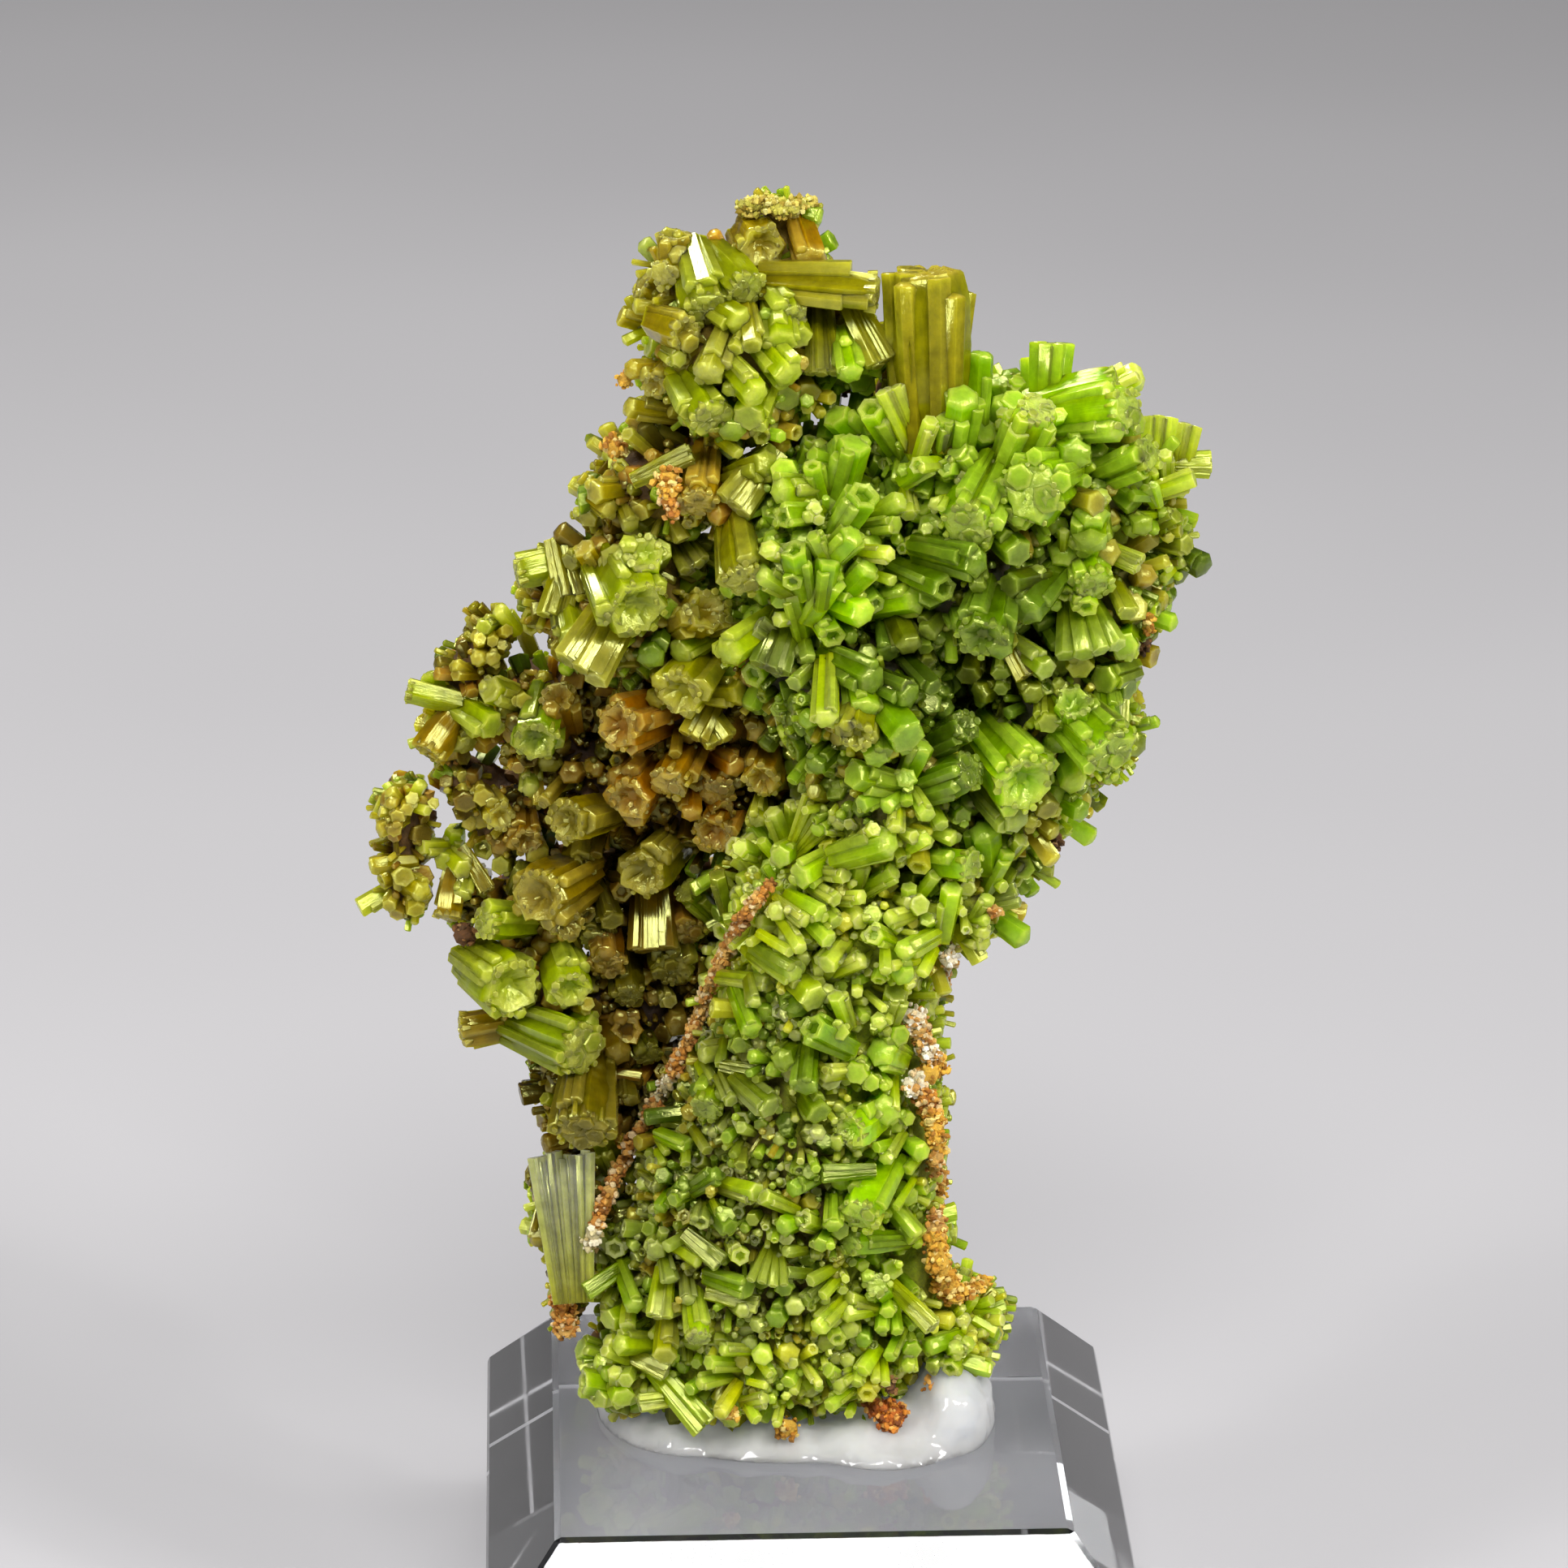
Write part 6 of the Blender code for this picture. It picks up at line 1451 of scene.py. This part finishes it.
def grain_patches(skin):
    """Each patch of grains: its middle on the skin, how far it reaches, its count and its colours."""
    spots = list(GRAIN_SPOTS)
    for spot, after in zip(GRAIN_SPOTS, GRAIN_SPOTS[1:]):
        if math.hypot(after[0] - spot[0], after[1] - spot[1]) < GRAIN_BRIDGE_PX:
            for share in GRAIN_BRIDGE_SHARES:
                between = [a * (1 - share) + b * share for a, b in zip(spot[:3], after[:3])]
                spots.append((*between, spot[3], spot[4] if share < 0.5 else after[4]))
    patches = []
    for x, y, reach, count, colour in spots:
        middle = on_surface(skin, x, y) + FORWARD * GRAIN_SINK
        middle.z = max(middle.z, LOWEST + reach * PX)
        patches.append((middle, reach * PX, count * GRAIN_CROWD, colour))
    return patches


def ball(subdivisions):
    """The corners and faces of a ball of radius 1."""
    bm = bmesh.new()
    bmesh.ops.create_icosphere(bm, subdivisions=subdivisions, radius=1.0)
    corners = np.array([vertex.co[:] for vertex in bm.verts])
    faces = [[vertex.index for vertex in face.verts] for face in bm.faces]
    bm.free()
    return corners, np.array(faces)


def add_grains(cluster, centres, radii, colours, subdivisions, chance):
    """A rough angular grain at each centre."""
    corners, faces = ball(subdivisions)
    uneven = 1 + chance.uniform(-GRAIN_UNEVEN, GRAIN_UNEVEN, (len(centres), len(corners), 1))
    squash = chance.uniform(*GRAIN_SQUASH, (len(centres), 1, 3))
    points = centres[:, None, :] + corners[None] * uneven * squash * radii[:, None, None]
    tints = np.concatenate([colours, np.zeros((len(centres), 1))], axis=1)[:, None, :]
    tints = np.broadcast_to(tints, (len(centres), len(corners), 4))
    maps = np.zeros((len(centres), faces.size, 2))
    cluster.add(points, faces.ravel(), np.full(len(faces), 3), tints, maps)


def grow_grains(cluster, patches, chance):
    """Patches of rusty, granular rock that break through the crystals."""
    for middle, reach, count, colour in patches:
        palette = [linear(tint) for tint in GRAIN_COLOURS[colour]]
        way = unit(chance.normal(0.0, 1.0, (count, 3)))
        centres = np.array(middle) + way * reach * chance.uniform(*GRAIN_SPREAD, (count, 1))
        centres[:, 2] = np.maximum(centres[:, 2], LOWEST)
        tints = np.array([pick(palette, chance) for _ in range(count)])
        add_grains(cluster, centres, chance.uniform(*GRAIN_SIZES, count), tints, 1, chance)
        core_tint = np.array([palette[0]]) * CORE_SHADE
        add_grains(cluster, np.array([middle]), np.array([reach * CORE_REACH]), core_tint, 2, chance)


def scatter_grains(cluster, rock, skin, chance):
    """Single grains over the bare rock of the far side."""
    points = surface_samples(rock, BACK_GRAIN_TRIES, chance)
    normals = smooth_normals(skin, points)
    bare = (kinds_of(points, normals) == "back") & (points[:, 2] > LOWEST_BACK_GRAIN)
    crowd = drift(points, BACK_GRAIN_PATCH)
    crowd += chance.uniform(-BACK_GRAIN_JITTER, BACK_GRAIN_JITTER, len(points))
    points = points[bare & (crowd > BACK_GRAIN_LEAST)]
    palette = np.array([linear(tint) for name in BACK_GRAIN_TINTS for tint in GRAIN_COLOURS[name]])
    tints = palette[chance.integers(len(palette), size=len(points))]
    add_grains(cluster, points, chance.uniform(*BACK_GRAIN_SIZES, len(points)), tints, 1, chance)


def shade_rock(rock, skin):
    """Colours the rock by zone, in two colours of patches on the far side."""
    places = vertex_places(rock.data)
    names = kinds_of(places, smooth_normals(skin, places))
    tints = np.ones((len(places), 4))
    for name, kind in KINDS.items():
        tints[names == name, :3] = linear(kind.ground)
    for number in np.nonzero(names == "back")[0]:
        share = noise.fractal(Vector(places[number]) / BACK_PATCH, *PATCH_NOISE)
        other = BACK_GROUNDS[0] if share > 0 else BACK_GROUNDS[1]
        weight = min(1.0, abs(share) * BACK_CONTRAST)
        tints[number, :3] = tints[number, :3] * (1 - weight) + linear(other) * weight
    set_tones(rock.data, tints)


def lift_back(rock, skin):
    """Brings the bare rock of the far side out to the skin, with crags."""
    for vertex in rock.data.vertices:
        normal = skin.find_nearest(vertex.co)[1]
        away = min(1.0, max(0.0, normal.dot(FORWARD) * BACK_TURN))
        crag = noise.ridged_multi_fractal(vertex.co / CRAG_SIZE, *CRAG_NOISE) - CRAG_MIDDLE
        vertex.co += normal * (away * (BACK_LIFT + crag * CRAG_DEPTH))


def build_gel():
    """The gel puddle, cut off flat above the block."""
    gel = new_lumps("gel", GEL_LUMPS, 0.0)
    remesh(gel, GEL_CELL)
    soften(gel.data, GEL_SOFTEN_STEPS)
    bm = bmesh.new()
    bm.from_mesh(gel.data)
    everything = bm.verts[:] + bm.edges[:] + bm.faces[:]
    plane = {"plane_co": (0.0, 0.0, BLOCK_HEIGHT + GEL_GAP), "plane_no": (0.0, 0.0, 1.0)}
    cut = bmesh.ops.bisect_plane(bm, geom=everything, clear_inner=True, **plane)
    rim = [item for item in cut["geom_cut"] if isinstance(item, bmesh.types.BMEdge)]
    bmesh.ops.holes_fill(bm, edges=rim)
    bm.normal_update()
    for vertex in bm.verts:
        if vertex.co.z > GEL_BOTTOM:
            push = noise.fractal(vertex.co / GEL_RIPPLE_SIZE, *PATCH_NOISE) * GEL_RIPPLE_DEPTH
            vertex.co += vertex.normal * push
            vertex.co.z = max(vertex.co.z, GEL_BOTTOM)
    bm.to_mesh(gel.data)
    bm.free()
    gel.data.shade_smooth()
    return gel


class Shader:
    """A Principled material and short ways to add nodes to it."""

    def __init__(self, name):
        self.material = bpy.data.materials.new(name)
        self.material.use_nodes = True
        self.nodes = self.material.node_tree.nodes
        self.links = self.material.node_tree.links
        self.principled = self.nodes["Principled BSDF"]
        self.place = self.node("TexCoord").outputs["Object"]

    def fill(self, socket, value):
        """Links the socket to another one, or sets its plain value."""
        if isinstance(value, bpy.types.NodeSocket):
            self.links.new(value, socket)
        else:
            socket.default_value = value

    def set(self, **values):
        """Fills sockets of the Principled node."""
        for name, value in values.items():
            self.fill(self.principled.inputs[name.replace("_", " ")], value)

    def node(self, kind, values=None, **settings):
        """A new node with these settings, its sockets filled with these values."""
        node = self.nodes.new("ShaderNode" + kind)
        for name, value in settings.items():
            setattr(node, name, value)
        for name, value in (values or {}).items():
            self.fill(node.inputs[name], value)
        return node

    def noise(self, scale, detail, vector=None, roughness=0.6):
        """Noise over the object's place, or over another vector."""
        values = {"Scale": scale, "Detail": detail, "Roughness": roughness, "Vector": vector or self.place}
        return self.node("TexNoise", values).outputs["Fac"]

    def spread(self, value, low, high, to_low, to_high):
        """The value, with the range from low to high spread over another one."""
        values = {"Value": value, "From Min": low, "From Max": high, "To Min": to_low, "To Max": to_high}
        return self.node("MapRange", values).outputs["Result"]

    def math(self, operation, first, second):
        """One sum or product of two values."""
        node = self.node("Math", operation=operation)
        for socket, value in zip(node.inputs, (first, second)):
            self.fill(socket, value)
        return node.outputs["Value"]

    def tint(self, colour, factor):
        """The colour times a grey factor."""
        values = {"Factor": 1.0, "A": colour, "B": factor}
        return self.node("Mix", values, data_type="RGBA", blend_type="MULTIPLY").outputs["Result"]

    def blend(self, factor, first, second):
        """A colour between the first and the second."""
        values = {"Factor": factor, "A": first, "B": second}
        return self.node("Mix", values, data_type="RGBA").outputs["Result"]

    def bump(self, height, distance, strength):
        """Small relief of this height."""
        values = {"Strength": strength, "Distance": distance, "Height": height}
        self.set(Normal=self.node("Bump", values).outputs["Normal"])


def crystal_material():
    """Waxy green crystal: striated sides with a strong lustre, frosted granular ends."""
    shader = Shader("pyromorphite")
    shader.set(IOR=1.78, Subsurface_Weight=1.0, Subsurface_Scale=0.003)
    shader.set(Subsurface_Radius=(0.9, 1.0, 0.2), Specular_Tint=(0.95, 1.0, 0.32, 1.0))
    tone = shader.node("Attribute", attribute_name="Tone")
    grain = shader.node("UVMap", uv_map="Grain").outputs["UV"]
    drawn_out = shader.node("Mapping", {"Vector": grain, "Scale": (5.0, 0.22, 1.0)}).outputs["Vector"]
    streaks = shader.noise(1.0, 3.0, drawn_out)
    mottle = shader.noise(1100.0, 5.0)
    frost = shader.noise(4800.0, 3.0)
    ends = tone.outputs["Alpha"]
    side_gloss = shader.spread(streaks, 0.35, 0.65, 0.06, 0.22)
    end_gloss = shader.spread(frost, 0.3, 0.7, 0.12, 0.32)
    gloss = shader.node("Mix", {"Factor": ends, "A": side_gloss, "B": end_gloss}).outputs["Result"]
    colour = shader.tint(tone.outputs["Color"], shader.spread(mottle, 0.3, 0.7, 0.72, 1.22))
    shader.set(Base_Color=colour, Roughness=gloss)
    on_sides = shader.math("MULTIPLY", streaks, shader.math("SUBTRACT", 1.0, ends))
    on_ends = shader.math("MULTIPLY", frost, shader.math("MULTIPLY", ends, 2.4))
    shader.bump(shader.math("ADD", on_sides, on_ends), 0.00014, 0.22)
    return shader.material


def rock_material():
    """Limonite: dull, rusty and pitted, with painted shade in the pits."""
    shader = Shader("limonite")
    tone = shader.node("Attribute", attribute_name="Tone").outputs["Color"]
    mottle = shader.noise(900.0, 6.0)
    pits = shader.noise(3200.0, 4.0, roughness=0.7)
    rust = shader.blend(shader.spread(mottle, 0.46, 0.72, 0.0, 0.16), tone, (0.26, 0.11, 0.02, 1.0))
    # Painted shade: the colour darkens where the pits sink the relief
    colour = shader.tint(rust, shader.spread(pits, 0.3, 0.7, 0.75, 1.35))
    shader.set(IOR=1.5, Base_Color=colour, Roughness=shader.spread(pits, 0.3, 0.7, 0.62, 0.92))
    shader.bump(shader.math("ADD", mottle, pits), 0.0002, 0.9)
    return shader.material


def acrylic_material():
    """Clear polished acrylic with faint polishing marks."""
    shader = Shader("clear_acrylic")
    haze = shader.noise(160.0, 5.0)
    hazy = shader.spread(haze, 0.3, 0.7, 0.0, 1.0)
    cast = shader.blend(hazy, (0.93, 0.945, 0.96, 1.0), (0.97, 0.975, 0.98, 1.0))
    shader.set(IOR=1.49, Transmission_Weight=1.0)
    shader.set(Base_Color=cast, Roughness=shader.spread(haze, 0.35, 0.75, 0.004, 0.05))
    return shader.material


def gel_material():
    """Milky clear gel with a wet skin."""
    shader = Shader("mounting_gel")
    shader.set(IOR=1.45, Transmission_Weight=0.38, Subsurface_Weight=1.0, Subsurface_Scale=0.003)
    shader.set(Subsurface_Radius=(0.9, 0.95, 1.0))
    cloud = shader.noise(260.0, 3.0)
    cloudy = shader.spread(cloud, 0.35, 0.65, 0.0, 1.0)
    milk = shader.blend(cloudy, (0.86, 0.88, 0.93, 1.0), (0.97, 0.97, 0.98, 1.0))
    shader.set(Base_Color=milk, Roughness=shader.spread(cloud, 0.35, 0.65, 0.03, 0.13))
    shader.bump(shader.noise(420.0, 2.0), 0.0003, 0.5)
    return shader.material


def floor_material():
    """Pale matt paper."""
    shader = Shader("studio_floor")
    fibre = shader.spread(shader.noise(6.0, 2.0), 0.3, 0.7, 0.0, 1.0)
    paper = shader.blend(fibre, (0.44, 0.43, 0.44, 1.0), (0.48, 0.47, 0.48, 1.0))
    shader.set(Roughness=0.7, IOR=1.3, Base_Color=paper)
    return shader.material


def paint(obj, material):
    """Gives the object this material alone."""
    obj.data.materials.clear()
    obj.data.materials.append(material)


def add_area(name, place, aim, size, power):
    """A white area light that looks at aim."""
    light = bpy.data.lights.new(name, "AREA")
    light.shape = "RECTANGLE"
    light.size, light.size_y = size
    light.energy = power
    obj = bpy.data.objects.new(name, light)
    obj.location = place
    obj.rotation_euler = (Vector(aim) - Vector(place)).to_track_quat("-Z", "Y").to_euler()
    bpy.context.scene.collection.objects.link(obj)


def add_camera():
    """A camera at the photograph's eye."""
    data = bpy.data.cameras.new("camera")
    data.sensor_width = SENSOR_MM
    data.sensor_fit = "HORIZONTAL"
    data.lens = FOCAL_PX / FRAME_PX * SENSOR_MM
    data.clip_start = CLIP_START
    camera = bpy.data.objects.new("camera", data)
    basis = Matrix((RIGHT, UP, -FORWARD)).transposed().to_4x4()
    camera.matrix_world = Matrix.Translation(EYE) @ basis
    bpy.context.scene.collection.objects.link(camera)
    bpy.context.scene.camera = camera


def add_studio():
    """A pale floor, soft lights and a soft grey surround."""
    bm = bmesh.new()
    bmesh.ops.create_grid(bm, x_segments=FLOOR_CELLS, y_segments=FLOOR_CELLS, size=FLOOR_HALF)
    floor = object_of(bm, "floor")
    floor.location.z = FLOOR_HEIGHT
    paint(floor, floor_material())
    for light in LIGHTS:
        add_area(*light)
    world = bpy.data.worlds.new("surround")
    world.use_nodes = True
    background = world.node_tree.nodes["Background"]
    background.inputs["Color"].default_value = SURROUND_COLOUR
    background.inputs["Strength"].default_value = SURROUND_STRENGTH
    bpy.context.scene.world = world
    bpy.context.scene.view_settings.view_transform = "Standard"


def ride(piece, node):
    """Fixes the piece to the root, in place of the node, which it hides."""
    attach(piece, "root")
    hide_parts(node)


def build_skin():
    """The surface where the smallest crystals end, as a tree of its faces."""
    body = new_lumps("skin", BODY_LUMPS, 0.0)
    remesh(body, FUSE_CELL)
    soften(body.data, SOFTEN_STEPS)
    roughen(body.data, ROUGH_SIZE, ROUGH_DEPTH)
    skin = tree_of(body)
    bpy.data.objects.remove(body)
    return skin


def build_rock(skin):
    """The rock that carries the crystals."""
    rock = new_lumps("rock", BODY_LUMPS, CRUST)
    remesh(rock, ROCK_CELL)
    soften(rock.data, ROCK_SOFTEN_STEPS)
    lift_back(rock, skin)
    roughen(rock.data, ROCK_ROUGH_SIZE, ROCK_ROUGH_DEPTH)
    shade_rock(rock, skin)
    rock.data.shade_smooth()
    return rock


def main():
    chance = np.random.default_rng(SEED)
    skin = build_skin()
    rock = build_rock(skin)
    crystals = []
    placed = grow_placed_crystals(crystals, skin, CRYSTAL_ROWS, chance)
    patches = grain_patches(skin)
    grow_crust(crystals, rock, skin, placed, patches, chance)
    grow_druse(crystals, rock, skin, patches, chance)
    grains = Cluster()
    grow_grains(grains, patches, chance)
    scatter_grains(grains, rock, skin, chance)
    rusty_grains = grains.build("rusty_grains")

    limonite = rock_material()
    crystal = crystal_material()
    for piece in build_crystals(crystals, chance):
        paint(piece, crystal)
        ride(piece, "pyromorphite_specimen")
    for piece in (rock, rusty_grains):
        paint(piece, limonite)
        ride(piece, "pyromorphite_specimen")
    gel = build_gel()
    paint(gel, gel_material())
    ride(gel, "mounting_gel")
    paint(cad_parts["acrylic_base"], acrylic_material())

    add_camera()
    add_studio()


main()
